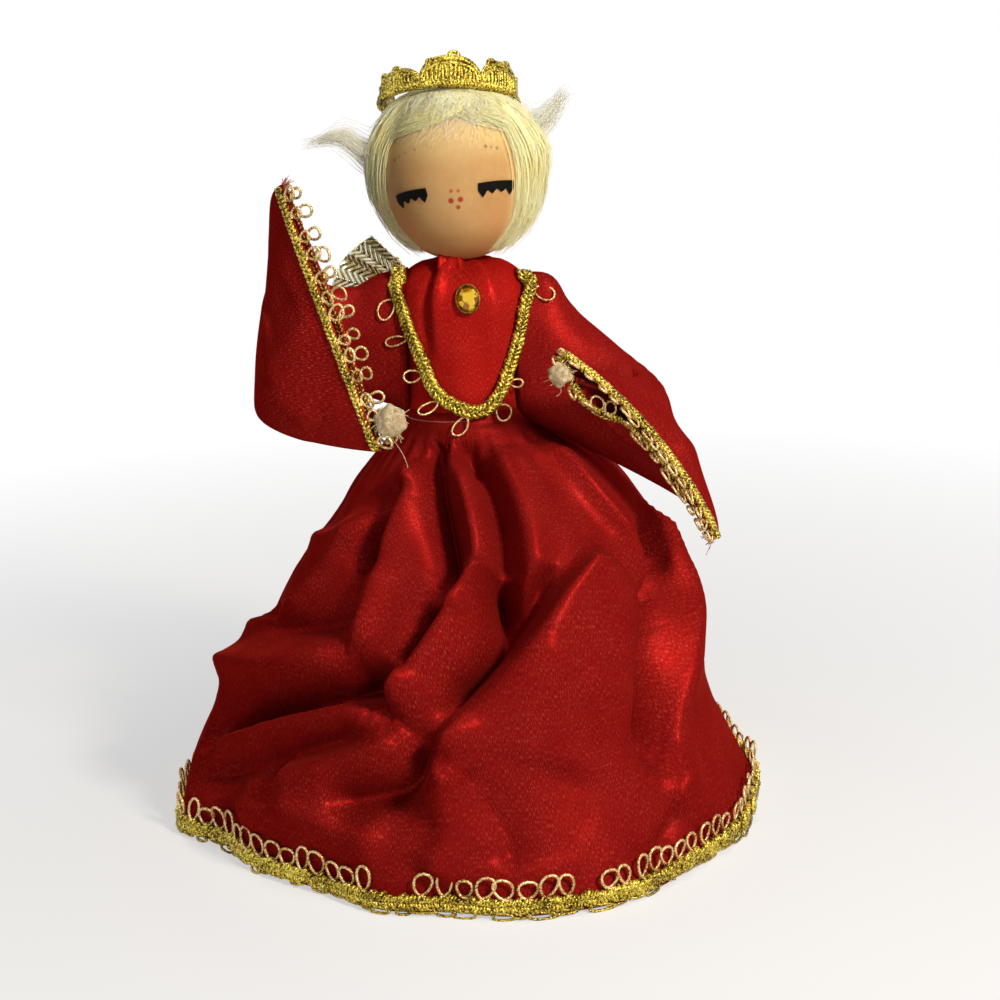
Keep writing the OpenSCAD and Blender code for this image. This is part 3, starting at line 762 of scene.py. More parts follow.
@dataclass(frozen=True)
class Plait:
    """A flat plait: strands cross within its width and rise by its depth, once in each pitch.

    It lies at a lift over its route, and loose is how much its width and height change.
    """

    width: float
    depth: float
    strands: int
    pitch: float
    lift: float = 0.0
    loose: float = 0.1

    def tracks(self, route: Route, rng: random.Random) -> list[Points]:
        """Tracks of the strands.

        Args:
            route: line on the cloth.
            rng: source of small wanderings.

        Returns:
            One track for each strand.
        """
        count = max(8, int(route.length / self.pitch * 10))
        reach = np.linspace(0, route.length, count, endpoint=not route.closed)
        point, _, across, out = route.at(reach)
        turns = round(route.length / self.pitch) if route.closed else route.length / self.pitch
        tracks = []
        for k in range(self.strands):
            phase = 2 * np.pi * (turns * reach / route.length + k / self.strands) + rng.uniform(-0.2, 0.2)
            slack = 1 + self.loose * (np.sin(reach * 0.7 + k) + np.sin(reach * 0.26 + 2.3 * k))
            side = self.width / 2 * np.sin(phase) * slack
            rise = self.lift + self.depth / 2 * np.sin(2 * phase) * slack
            tracks.append(point + across * side[:, None] + out * rise[:, None])
        return tracks


def plaited(layers: Sequence[Plait], route: Route, rng: random.Random) -> list[Points]:
    """Tracks of plaits that lie over each other on a route."""
    return [track for layer in layers for track in layer.tracks(route, rng)]


def teardrop(steps: int, width: float, height: float, cross: float) -> tuple[Points, Points]:
    """Outline of a cord loop whose ends cross at its neck.

    Args:
        steps: points on it.
        width: greatest width.
        height: height over its neck.
        cross: how far the ends pass each other, as a share of the width.

    Returns:
        Places along and away from the neck.
    """
    t = np.linspace(-1, 1, steps)
    away = height * (1 + np.cos(np.pi * t)) / 2
    full = 0.55 + 0.45 * away / height
    return width / 2 * (1.25 * full * np.sin(np.pi * t) - cross * t**9), away


@dataclass(frozen=True)
class LoopRow:
    """A row of cord loops along the edge of a braid; bare shares of the edge have none."""

    pitch: float
    width: float
    height: float
    cord: float
    missing: float = 0.0
    wander: float = 0.2
    lean: float = 0.0
    steps: int = 15
    bare: Pairs = ()

    def tracks(self, route: Route, rng: random.Random, start: float = 0.0, stop: float = 1.0) -> list[Points]:
        """Tracks of the loops.

        Args:
            route: edge that the loops stand on; they point to its across side.
            rng: source of their irregularity.
            start: share of the route where they start.
            stop: share of the route where they stop.

        Returns:
            One track for each loop.
        """
        count = max(1, round(route.length * (stop - start) / self.pitch))
        tracks = []
        for i in range(count):
            share = start + (stop - start) * (i + 0.5 + rng.uniform(-0.5, 0.5) * self.wander) / count
            draw = [rng.uniform(-1, 1) for _ in range(5)]
            if rng.random() < self.missing or any(low < share < high for low, high in self.bare):
                continue
            point, along, across, out = (r[0] for r in route.at(np.array([share * route.length])))
            width, height = self.width * (1 + self.wander * draw[0]), self.height * (1 + self.wander * draw[1])
            x, y = teardrop(self.steps, width, height, cross=0.5)
            skew = self.wander * 1.2 * draw[2]
            curl = self.lean + self.wander * 0.6 * draw[3]
            reach = y / max(self.height, 0.1)
            rise = self.cord * np.sign(np.linspace(-1, 1, self.steps)) * (1 - reach) * 0.9
            flat = np.outer(x + skew * y, along) + np.outer(y, across)
            tracks.append(point + flat + np.outer(rise + curl * y * reach, out))
        return tracks


# ---------------------------------------------------------------- folds


@dataclass(frozen=True)
class Fold:
    """A fold in cloth: a ridge, or a crease where its rise is negative.

    The path gives bearing and height on the skirt, share and turn on a sleeve. On the
    skirt it runs from the upper end down. The sharp side is on the right of the way
    along it as seen from outside, which is the upper left of a fold that falls left.
    """

    path: Pairs
    rise: float
    sharp: float
    soft: float
    lean: float = 0.0


# how steeply a ridge and a crease fall off, and the radius that rounds them
CREST, CREASE, CREST_RADIUS = 1.25, 1.0, 1.0
# shares of a fold's length over which its ends fade in and out, and how much of it is there at its ends
FADE_IN, FADE_OUT, END_SHARE = 0.16, 0.2, 0.15


def folded(
    points: Points, out: Points, folds: Sequence[Fold], carry: Callable[[Points, Points], tuple[Points, Points]]
) -> Points:
    """Raise cloth by its folds.

    Args:
        points: points of the smooth cloth.
        out: the way out of it at each point.
        folds: folds to lay.
        carry: points and ways out for the places on a fold's path.

    Returns:
        How far each point moves.
    """
    moved = np.zeros_like(points)
    for fold in folds:
        line = smooth_line(np.array(fold.path), count=48)
        track, up = carry(line[:, 0], line[:, 1])
        along = unit(np.gradient(track, axis=0))
        right = np.cross(along, up)
        reach = np.linalg.norm(points[:, None] - track[None], axis=2)
        near = reach.argmin(axis=1)
        away = np.hypot(reach[np.arange(len(points)), near], CREST_RADIUS) - CREST_RADIUS
        side = np.sum((points - track[near]) * right[near], axis=1)
        share = near / (len(track) - 1)
        taper = ease(share / FADE_IN + END_SHARE) * ease((1 - share) / FADE_OUT + END_SHARE)
        blend = ease(side / (0.5 * fold.sharp) * 0.5 + 0.5)
        width = fold.soft + (fold.sharp - fold.soft) * blend
        height = fold.rise * taper * np.exp(-((away / width) ** (CREST if fold.rise > 0 else CREASE)))
        moved += out * height[:, None] + right[near] * (fold.lean * height)[:, None]
    return moved


# ---------------------------------------------------------------- studio


@dataclass(frozen=True)
class Lamp:
    """A square soft lamp: where it stands, its side, its watts and the colour of its light."""

    name: str
    place: Triple
    size: float
    power: float
    code: str


@dataclass
class Studio:
    """Camera at the photograph's angle, pale floor and soft lamps."""

    target: Triple = (8.3, 0.0, 85.0)
    distance: float = 600.0
    elevation: float = 16.0
    roll: float = 1.7
    focal_pixels: float = 2220.0
    frame_pixels: float = 1000.0
    sensor: float = 36.0
    ambient: float = 0.045
    floor_radius: float = 6.0
    shadow_start: float = 0.1
    shadow_end: float = 0.42
    shadow_glow: float = 0.55
    lamp_target: Triple = (0.0, 0.0, 90.0)
    lamps: tuple[Lamp, ...] = (
        Lamp("key", (400, -480, 500), 125, 4.6, "#FFF4E4"),
        Lamp("fill", (-460, -560, 300), 320, 0.22, "#FFF8F0"),
        Lamp("top", (60, -60, 700), 200, 0.8, "#FFFFFF"),
    )

    def build(self) -> None:
        """Make the camera, the floor, the lamps and the world."""
        self.camera()
        self.floor()
        for lamp in self.lamps:
            self.hang(lamp)
        self.world()
        bpy.context.scene.view_settings.view_transform = "Standard"

    def camera(self) -> None:
        """Camera that looks at the doll as the photograph does."""
        data = bpy.data.cameras.new("camera")
        data.sensor_width = self.sensor
        data.lens = self.focal_pixels * self.sensor / self.frame_pixels
        data.clip_start, data.clip_end = 0.02, 20.0
        made = stand("camera", data)
        tilt = math.radians(self.elevation)
        back = Vector((0, -math.cos(tilt), math.sin(tilt)))
        made.location = (Vector(self.target) + back * self.distance) * MM
        made.rotation_mode = "QUATERNION"
        turn = Quaternion((0, 0, 1), -math.radians(self.roll))
        made.rotation_quaternion = (-back).to_track_quat("-Z", "Y") @ turn
        bpy.context.scene.camera = made

    def seen(self, tree: Tree) -> bpy.types.NodeSocket:
        """Value of 1 for rays that are seen, mirrored or let through.

        Args:
            tree: node tree that takes the nodes.

        Returns:
            The value's socket.
        """
        rays = add_node(tree, "LightPath")
        seen = rays["Is Camera Ray"]
        for kind in ("Is Glossy Ray", "Is Transmission Ray"):
            seen = add_node(tree, "Math", {0: seen, 1: rays[kind]}, operation="MAXIMUM")[0]
        return seen

    def floor(self) -> None:
        """Pale floor that keeps the doll's shadow."""
        bm = bmesh.new()
        bmesh.ops.create_circle(bm, cap_ends=True, segments=96, radius=self.floor_radius)
        mesh = mesh_of(bm, "floor")
        made = stand("floor", mesh)
        paint = bpy.data.materials.new("white paper floor")
        paint.use_nodes = True
        tree = paint.node_tree
        shader = tree.nodes["Principled BSDF"]
        feed(tree, shader, {"Base Color": linear("#FAFAFA"), "Roughness": 0.9, "Specular IOR Level": 0.0})
        place = add_node(tree, "TexCoord")["Object"]
        far = add_node(tree, "VectorMath", {0: place}, operation="LENGTH")["Value"]
        fade = {
            "Value": far, "From Min": self.shadow_start, "From Max": self.shadow_end,
            "To Min": self.shadow_glow, "To Max": 1.0,
        }
        away = add_node(tree, "MapRange", fade)["Result"]
        share = add_node(tree, "Math", {0: self.seen(tree), 1: away}, operation="MULTIPLY")[0]
        light = add_node(tree, "Emission", {"Color": linear("#FFFFFF"), "Strength": 1.0})[0]
        both = add_node(tree, "MixShader", {0: share, 1: shader.outputs[0], 2: light})[0]
        feed(tree, tree.nodes["Material Output"], {"Surface": both})
        mesh.materials.append(paint)

    def hang(self, lamp: Lamp) -> None:
        """Put a lamp in its place, looking at the doll.

        Args:
            lamp: the lamp.
        """
        data = bpy.data.lights.new(lamp.name, "AREA")
        data.size, data.energy, data.color = lamp.size * MM, lamp.power, linear(lamp.code)[:3]
        made = stand(lamp.name, data)
        made.location = Vector(lamp.place) * MM
        look = Vector(self.lamp_target) * MM - made.location
        made.rotation_mode = "QUATERNION"
        made.rotation_quaternion = look.to_track_quat("-Z", "Y")

    def world(self) -> None:
        """White surroundings for what is seen and mirrored, softer light for the rest."""
        made = bpy.data.worlds.new("studio")
        made.use_nodes = True
        tree = made.node_tree
        glow = {"Value": self.seen(tree), "To Min": self.ambient, "To Max": 1.0}
        strength = add_node(tree, "MapRange", glow)["Result"]
        feed(tree, tree.nodes["Background"], {"Color": linear("#FFFFFF"), "Strength": strength})
        bpy.context.scene.world = made


# ---------------------------------------------------------------- foundation


@dataclass
class Foundation:
    """Card cone, pulp torso, stick and wires, kept as the CAD makes them."""

    finishes: tuple[tuple[str, Finish], ...] = (
        ("base_cone", CARD),
        ("torso", PULP),
        ("neck_dowel", BIRCH),
        ("shoulder_wire", STEEL),
        ("right_arm_wire", WOUND_WIRE),
        ("left_arm_wire", WOUND_WIRE),
    )

    def dress(self) -> None:
        """Give each kept node its finish."""
        for name, finish in self.finishes:
            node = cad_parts[name]
            node.data.materials.clear()
            node.data.materials.append(finish.material())
            LOG.info("%s: kept with %s", name, finish.name)


@dataclass
class Torso:
    """Form of the padded torso, which the bodice and its trim lie on."""

    waist_z: float = 106.0
    height: float = 43.5
    waist: float = 15.0
    chest_width: float = 17.5
    chest_depth: float = 13.5
    cap_start: float = 0.78
    cap_drop: float = 0.72
    front_share: float = 0.96

    def half(self, f: Points, chest: float) -> Points:
        """Half width or half depth at a share of the height."""
        cap = np.sqrt(1 - self.cap_drop * np.clip((f - self.cap_start) / (1 - self.cap_start), 0, 1) ** 2)
        return mix(self.waist, chest, ease(f / self.cap_start)) * cap

    def point(self, f: Points, bearing: Points, grow: Points | float) -> Points:
        """Points over the torso at a share of its height and a bearing from the front.

        Args:
            f: shares of the torso's height.
            bearing: degrees from the front.
            grow: millimetres over the torso.

        Returns:
            One row of x, y, z for each place.
        """
        b = np.radians(bearing)
        x = (self.half(f, self.chest_width) + grow) * np.sin(b)
        y = -(self.half(f, self.chest_depth) + grow) * np.cos(b)
        z = self.waist_z + self.height * f + grow * ease((f - self.cap_start) / (1 - self.cap_start))
        return np.stack(np.broadcast_arrays(x, y, z), axis=-1)

    def front(self, x: Points, z: Points, grow: float) -> tuple[Points, Points]:
        """Points of the front over places of its plane, and the ways out there.

        Args:
            x: places across.
            z: heights.
            grow: millimetres over the torso.

        Returns:
            Points and ways out.
        """

        def at(px: Points, pz: Points) -> Points:
            """Points of the front alone.

            Args:
                px: places across.
                pz: heights.

            Returns:
                One row of x, y, z for each place.
            """
            f = np.clip((pz - self.waist_z) / self.height, 0, 1)
            wide, deep = self.half(f, self.chest_width) + grow, self.half(f, self.chest_depth) + grow
            t = np.minimum(np.abs(px) / wide, self.front_share)
            return np.stack([px, -deep * np.sqrt(1 - t * t), pz], axis=-1)

        d = 0.2
        out = np.cross(at(x + d, z) - at(x - d, z), at(x, z + d) - at(x, z - d))
        return at(x, z), unit(out)


# ---------------------------------------------------------------- head


@dataclass
class Head:
    """Ball head of spun cotton with paper lashes."""

    width: float = 40.0
    height: float = 43.0
    middle: float = 172.5
    turn: float = 4.0
    lash_width: float = 10.2
    lash_band: float = 1.9
    lash_point: float = 1.8
    lash_bow: float = 0.35
    lash_paper: float = 0.3
    lash_points: int = 4
    lash_lift: float = 0.35
    lash_bearing: float = 33.5
    # side, angle from the top and turn of each strip
    lashes: tuple[tuple[Side, float, float], ...] = ((Side.RIGHT, 95.5, 14.0), (Side.LEFT, 89.5, -1.0))
    ball: Piece | None = None

    def skull(self, a: Points) -> Points:
        """Distance of the skin from the middle at an angle from the top."""
        r = np.radians(a)
        return 1 / np.hypot(np.sin(r) / (self.width / 2), np.cos(r) / (self.height / 2))

    def over(self, a: Points, bearing: Points, height: Points | float) -> Points:
        """Points over the skin by angle from the top, bearing from the front and height.

        Args:
            a: degrees from the top.
            bearing: degrees from the front.
            height: millimetres over the skin.

        Returns:
            One row of x, y, z for each place.
        """
        r, b = np.radians(a), np.radians(bearing)
        reach = self.skull(a) + height
        level = reach * np.sin(r)
        x, y, z = level * np.sin(b), -level * np.cos(b), reach * np.cos(r) + self.middle
        return np.stack(np.broadcast_arrays(x, y, z), axis=-1)

    def build(self) -> None:
        """Make the ball and both lashes."""
        bm = bmesh.new()
        bmesh.ops.create_uvsphere(bm, u_segments=96, v_segments=64, radius=1.0)
        bmesh.ops.scale(bm, vec=(self.width / 2 * MM, self.width / 2 * MM, self.height / 2 * MM), verts=bm.verts)
        bmesh.ops.translate(bm, vec=(0, 0, self.middle * MM), verts=bm.verts)
        self.ball = piece("head_ball", mesh_of(bm, "head"), COTTON_HEAD, "spun_cotton", Body.TRUNK, "head")
        for side, angle, roll in self.lashes:
            self.lash(side, angle, roll)

    def lash(self, side: Side, angle: float, roll: float) -> None:
        """Strip of black paper with points cut along its foot, wrapped on the face.

        Args:
            side: side of the face.
            angle: angle of its middle from the top of the head.
            roll: turn of the strip in the face.
        """
        bearing = side.value * self.lash_bearing - self.turn

        def place(u: Points, v: Points) -> Points:
            """Points of the strip: its foot is a row of triangles.

            Args:
                u: shares across.
                v: shares up.

            Returns:
                One row of x, y, z for each place.
            """
            x = (u - 0.5) * self.lash_width
            saw = 1 - np.abs(2 * ((u * self.lash_points) % 1.0) - 1)
            dip = self.lash_bow * (2 * u - 1) ** 2
            foot = -self.lash_band / 2 - self.lash_point * saw * (0.75 + 0.25 * np.sin(7 * u + 1))
            z = mix(foot, self.lash_band / 2, v) - dip
            c, s = math.cos(math.radians(roll)), math.sin(math.radians(roll))
            x, z = x * c - z * s, x * s + z * c
            r = self.width / 2
            return self.over(angle - np.degrees(z / r), bearing + np.degrees(x / r), self.lash_lift)

        mesh = sheet_mesh(place, columns=48, rows=4, size=(self.lash_width, self.lash_band))
        name = f"{side.word}_paper_lash"
        made = piece(name, mesh, LASH, "lash_paper", Body.TRUNK, f"{side.word}_lash", smooth=False)
        cloth_thickness(made, self.lash_paper)


@dataclass
class Hair:
    """Combed wig: a cap of hair, a coat of single strands and loose wisps."""

    head: Head
    strands: int = 2700
    # angle from the top and depth of the hair there
    right_depth: Pairs = ((0, 2.2), (42, 4.2), (74, 3.9), (95, 2.7), (115, 1.7), (150, 0.7))
    left_depth: Pairs = ((0, 2.2), (50, 3.3), (74, 4.0), (94, 2.0), (112, 1.4), (150, 0.6))
    fringe_strands: int = 900
    stray_strands: int = 800
    stray_radius: float = 0.04
    parting: float = 16.0
    right_edge: float = -73.0
    left_edge: float = 54.0
    side_end: float = 122.0
    back_extra: float = 16.0
    tuck_angle: float = 152.0
    brow_angle: float = 44.0
    veil_fade: float = 34.0
    veil_side: float = 17.0
    strand_radius: float = 0.085
    fringe_angle: float = 27.0
    fringe_drop: float = 14.0
    side_tilt: float = 10.0
    locks: int = 23
    lock_rise: float = 0.2
    cap_under: float = 0.65
    least_height: float = 0.15
    steps: int = 9
    # angles from the top where front and back strands start
    part_angles: tuple[float, float] = (17.0, 6.0)
    # angle from the top where strands turn to their side, and the span of the turn
    right_swing: tuple[float, float] = (18.0, 20.0)
    left_swing: tuple[float, float] = (21.0, 24.0)
    back_swing: tuple[float, float] = (2.0, 26.0)
    # angles from the top where the shortest strands end, at the face and at the back
    short_ends: tuple[float, float] = (104.0, 120.0)
    tuck_turn: float = 9.0
    fringe_start: float = 16.0
    right_fringe: float = 60.0
    left_fringe: float = 54.0
    wisp_strands: int = 300
    wisp_radius: float = 0.06
    # side, root by angle, bearing and height, and the places that the strands pass and end near
    wisps: tuple[tuple[Side, Triple, tuple[Triple, Triple]], ...] = (
        (Side.RIGHT, (76, -96, 2.6), ((-30.0, 2.0, 183.5), (-39.5, 2.0, 181.6))),
        (Side.LEFT, (58, 92, 3.0), ((25.5, 2.0, 189.5), (28.6, 2.0, 194.5))),
    )
    coat_seed: int = 5
    wisp_seed: int = 11
    stray_seed: int = 17

    def over(self, a: Points, bearing: Points) -> Points:
        """Depth of the hair on the skin, read from the top down each side."""
        right, left = read_pairs(a, self.right_depth), read_pairs(a, self.left_depth)
        return mix(right, left, (1 + np.sin(np.radians(bearing))) / 2)

    def end(self, bearing: Points) -> Points:
        """Angle from the top where the cap ends, along the fringe and the sides of the face.

        Args:
            bearing: degrees from the front.

        Returns:
            Degrees from the top.
        """
        middle, half = (self.right_edge + self.left_edge) / 2, (self.left_edge - self.right_edge) / 2
        t = np.abs((bearing - middle) / (half + 5))
        brow = self.fringe_angle + self.fringe_drop * np.clip(t, 0, 1) ** 2.2
        side = self.side_end + self.side_tilt * np.sin(np.radians(bearing))
        side = side + self.back_extra * ease((np.abs(bearing) - 100) / 50)
        return mix(brow, side, ease((t - 0.95) / 0.25))

    def veil(self, mesh: Mesh) -> None:
        """Mark on the head where stray hair lies thinly over the skin.

        Args:
            mesh: ball of the head; it gets the share of hair at each point.
        """
        x, y, z = np.array([v.co for v in mesh.vertices]).T / MM
        a = np.degrees(np.arctan2(np.hypot(x, y), z - self.head.middle))
        bearing = np.degrees(np.arctan2(x, -y))
        side = np.minimum(bearing - self.right_edge, self.left_edge - bearing)
        share = np.maximum(1 - ease((a - self.brow_angle) / self.veil_fade), 1 - ease(side / self.veil_side))
        mesh.attributes.new("veil", "FLOAT", "POINT").data.foreach_set("value", share.astype(np.float32))

    def build(self) -> None:
        """Make the cap, the strands and the wisps."""
        self.veil(self.head.ball.data)
        self.cap()
        for side in Side:
            self.coat(side)
        self.strays()
        for side, root, tips in self.wisps:
            self.wisp(side, self.head.over(*root), tips)

    def cap(self) -> None:
        """Cap under the strands, open over the face, rippled like combed locks."""

        def place(u: Points, v: Points) -> Points:
            """Points of the cap; v runs from its edge to the top.

            Args:
                u: shares across.
                v: shares up.

            Returns:
                One row of x, y, z for each place.
            """
            bearing = u * 360 - 180
            a = self.end(bearing) * (1 - v)
            lock = self.lock_rise * np.sin(np.radians(bearing) * self.locks + 0.02 * a) * ease(a / 25)
            full = self.over(a, bearing) - self.cap_under + lock
            return self.head.over(a, bearing, mix(0.1, full, ease(v / 0.3)))

        mesh = sheet_mesh(place, columns=180, rows=60, size=(140.0, 50.0), wrap=True)
        piece("wig_cap", mesh, HAIR, "hair", Body.TRUNK, "wig")

    def coat(self, side: Side) -> None:
        """Single strands combed to one side, and the thin fringe over the face.

        Args:
            side: side of the head.
        """
        rng = random.Random(self.coat_seed + side.value)
        strands = [self.combed(side, i, rng) for i in range(self.strands)]
        strands += [self.fringe(side, i, rng) for i in range(self.fringe_strands)]
        tracks, radii = zip(*strands)
        piece(f"wig_strands_{side.word}", cord_mesh(tracks, radii, sides=4), HAIR, "hair", Body.TRUNK)

    def edge(self, side: Side) -> float:
        """Bearing of the face's edge on a side, without its sign."""
        return abs(self.right_edge if side is Side.RIGHT else self.left_edge)

    def combed(self, side: Side, index: int, rng: random.Random) -> tuple[Points, Points]:
        """One strand from the parting round the head; those next to the face lie thin.

        Args:
            side: side that it is combed to.
            index: its number.
            rng: source of its irregularity.

        Returns:
            Its track, and its radius at each point.
        """
        swing, span = self.right_swing if side is Side.RIGHT else self.left_swing
        q = rng.random() ** 1.35
        far = side.value * mix(self.edge(side) + rng.gauss(0, 3.5), 180.0, q)
        top = mix(*self.part_angles, q) + rng.uniform(-4, 4)
        swing = mix(swing, self.back_swing[0], q**0.5) + rng.uniform(-4, 5)
        span = mix(span, self.back_swing[1], q)
        back = ease((abs(far) - 95) / 45)
        end = mix(mix(*self.short_ends, back), self.tuck_angle, rng.random() ** mix(1.3, 1.0, back))
        t = np.linspace(0, 1, self.steps) ** 0.9
        a = mix(top, end, t)
        start = self.parting + 5 * side.value + rng.uniform(-9, 9)
        bearing = mix(start, far, ease((a - swing) / span)) - side.value * self.tuck_turn * ease((a - 118) / 34)
        thin = mix(mix(0.2, 1.0, ease(q / 0.2)), 1.0, ease((38 - a) / 14))
        height = thin * (self.over(a, bearing) + rng.uniform(-0.6, 0.2) + 0.25 * np.sin(a / 17 + index))
        height = np.maximum(height + rng.random() ** 7 * 1.8 * t, self.least_height)
        radius = self.strand_radius * (1 - 0.6 * np.abs(2 * t - 1) ** 2) * rng.uniform(0.7, 1.3)
        return self.head.over(a, bearing, height), radius

    def fringe(self, side: Side, index: int, rng: random.Random) -> tuple[Points, Points]:
        """One strand that sweeps from the other side over the brow.

        Args:
            side: side that it is combed to.
            index: its number.
            rng: source of its irregularity.

        Returns:
            Its track, and its radius at each point.
        """
        t = np.linspace(0, 1, self.steps)
        start = -side.value * rng.uniform(-14, 50)
        far = side.value * (self.edge(side) + rng.uniform(-2, 16))
        low = rng.uniform(33, self.right_fringe if side is Side.RIGHT else self.left_fringe)
        a = self.fringe_start + rng.uniform(-3, 4) + (low - self.fringe_start) * t ** rng.uniform(0.62, 1.1)
        bearing = mix(start, far, t) + 4 * np.sin(3 * t + index)
        height = mix(self.over(a, bearing) - 0.2, rng.uniform(0.2, 1.0), ease(t / 0.55))
        height = np.maximum(height, self.least_height) + rng.random() ** 6 * 1.4 * t
        radius = self.strand_radius * (1 - 0.7 * t**3) * rng.uniform(0.5, 0.95)
        return self.head.over(a, bearing, height), radius

    def strays(self) -> None:
        """Fine fibres that stand off the hair and lie over the brow."""
        rng = random.Random(self.stray_seed)
        tracks, radii = [], []
        t = np.linspace(0, 1, 8)
        for i in range(self.stray_strands):
            brow = i % 4 == 0
            edges = (self.right_edge, self.left_edge) if brow else (self.left_edge + 8, 352 + self.right_edge)
            start = rng.uniform(*edges)
            a = (rng.uniform(18, 32) if brow else rng.uniform(20, 118)) + rng.uniform(14, 32) * t
            sweep = rng.uniform(-40, 10) if brow else rng.gauss(0, 8)
            bearing = start + sweep * t + rng.uniform(-6, 6) * np.sin(np.pi * t)
            lying = self.over(a, bearing)
            height = mix(lying, 0.4, ease(t / 0.6)) if brow else lying
            off = rng.uniform(0.2, 0.7) if brow else rng.random() ** 2 * 2.2
            tracks.append(self.head.over(a, bearing, height + off * t))
            radii.append(self.stray_radius * (1 - 0.5 * t))
        piece("wig_stray_fibres", cord_mesh(tracks, radii, sides=4), PALE_HAIR, "hair", Body.TRUNK)

    def wisp(self, side: Side, root: Points, tips: Sequence[Sequence[float]]) -> None:
        """Loose lock that leaves the hair.

        Args:
            side: side of the head.
            root: where it leaves the hair.
            tips: places that its strands pass and end near.
        """
        rng = random.Random(self.wisp_seed + side.value)
        tracks, radii = [], []
        t = np.linspace(0, 1, self.steps)
        for _ in range(self.wisp_strands):
            spread = scatter(rng)
            start = root + spread * np.array([0.8, 1.6, 2.2])
            knots = np.vstack([start - np.array([side.value * 4.0, 0, -2.5]), start, tips[0], tips[1]])
            knots[2] += spread * np.array([0.9, 1.4, 1.4])
            knots[3] += scatter(rng) * np.array([1.4, 1.6, 0.9])
            stop = rng.uniform(0.5, 1.0)
            line = smooth_line(knots, count=30)[: max(9, int(30 * stop))]
            tracks.append(np.stack([np.interp(t, np.linspace(0, 1, len(line)), line[:, j]) for j in range(3)], axis=1))
            radii.append(self.wisp_radius * (1 - 0.6 * t))
        mesh = cord_mesh(tracks, radii, sides=4)
        piece(f"{side.word}_hair_wisp", mesh, PALE_HAIR, "hair", Body.TRUNK, f"{side.word}_wisp")


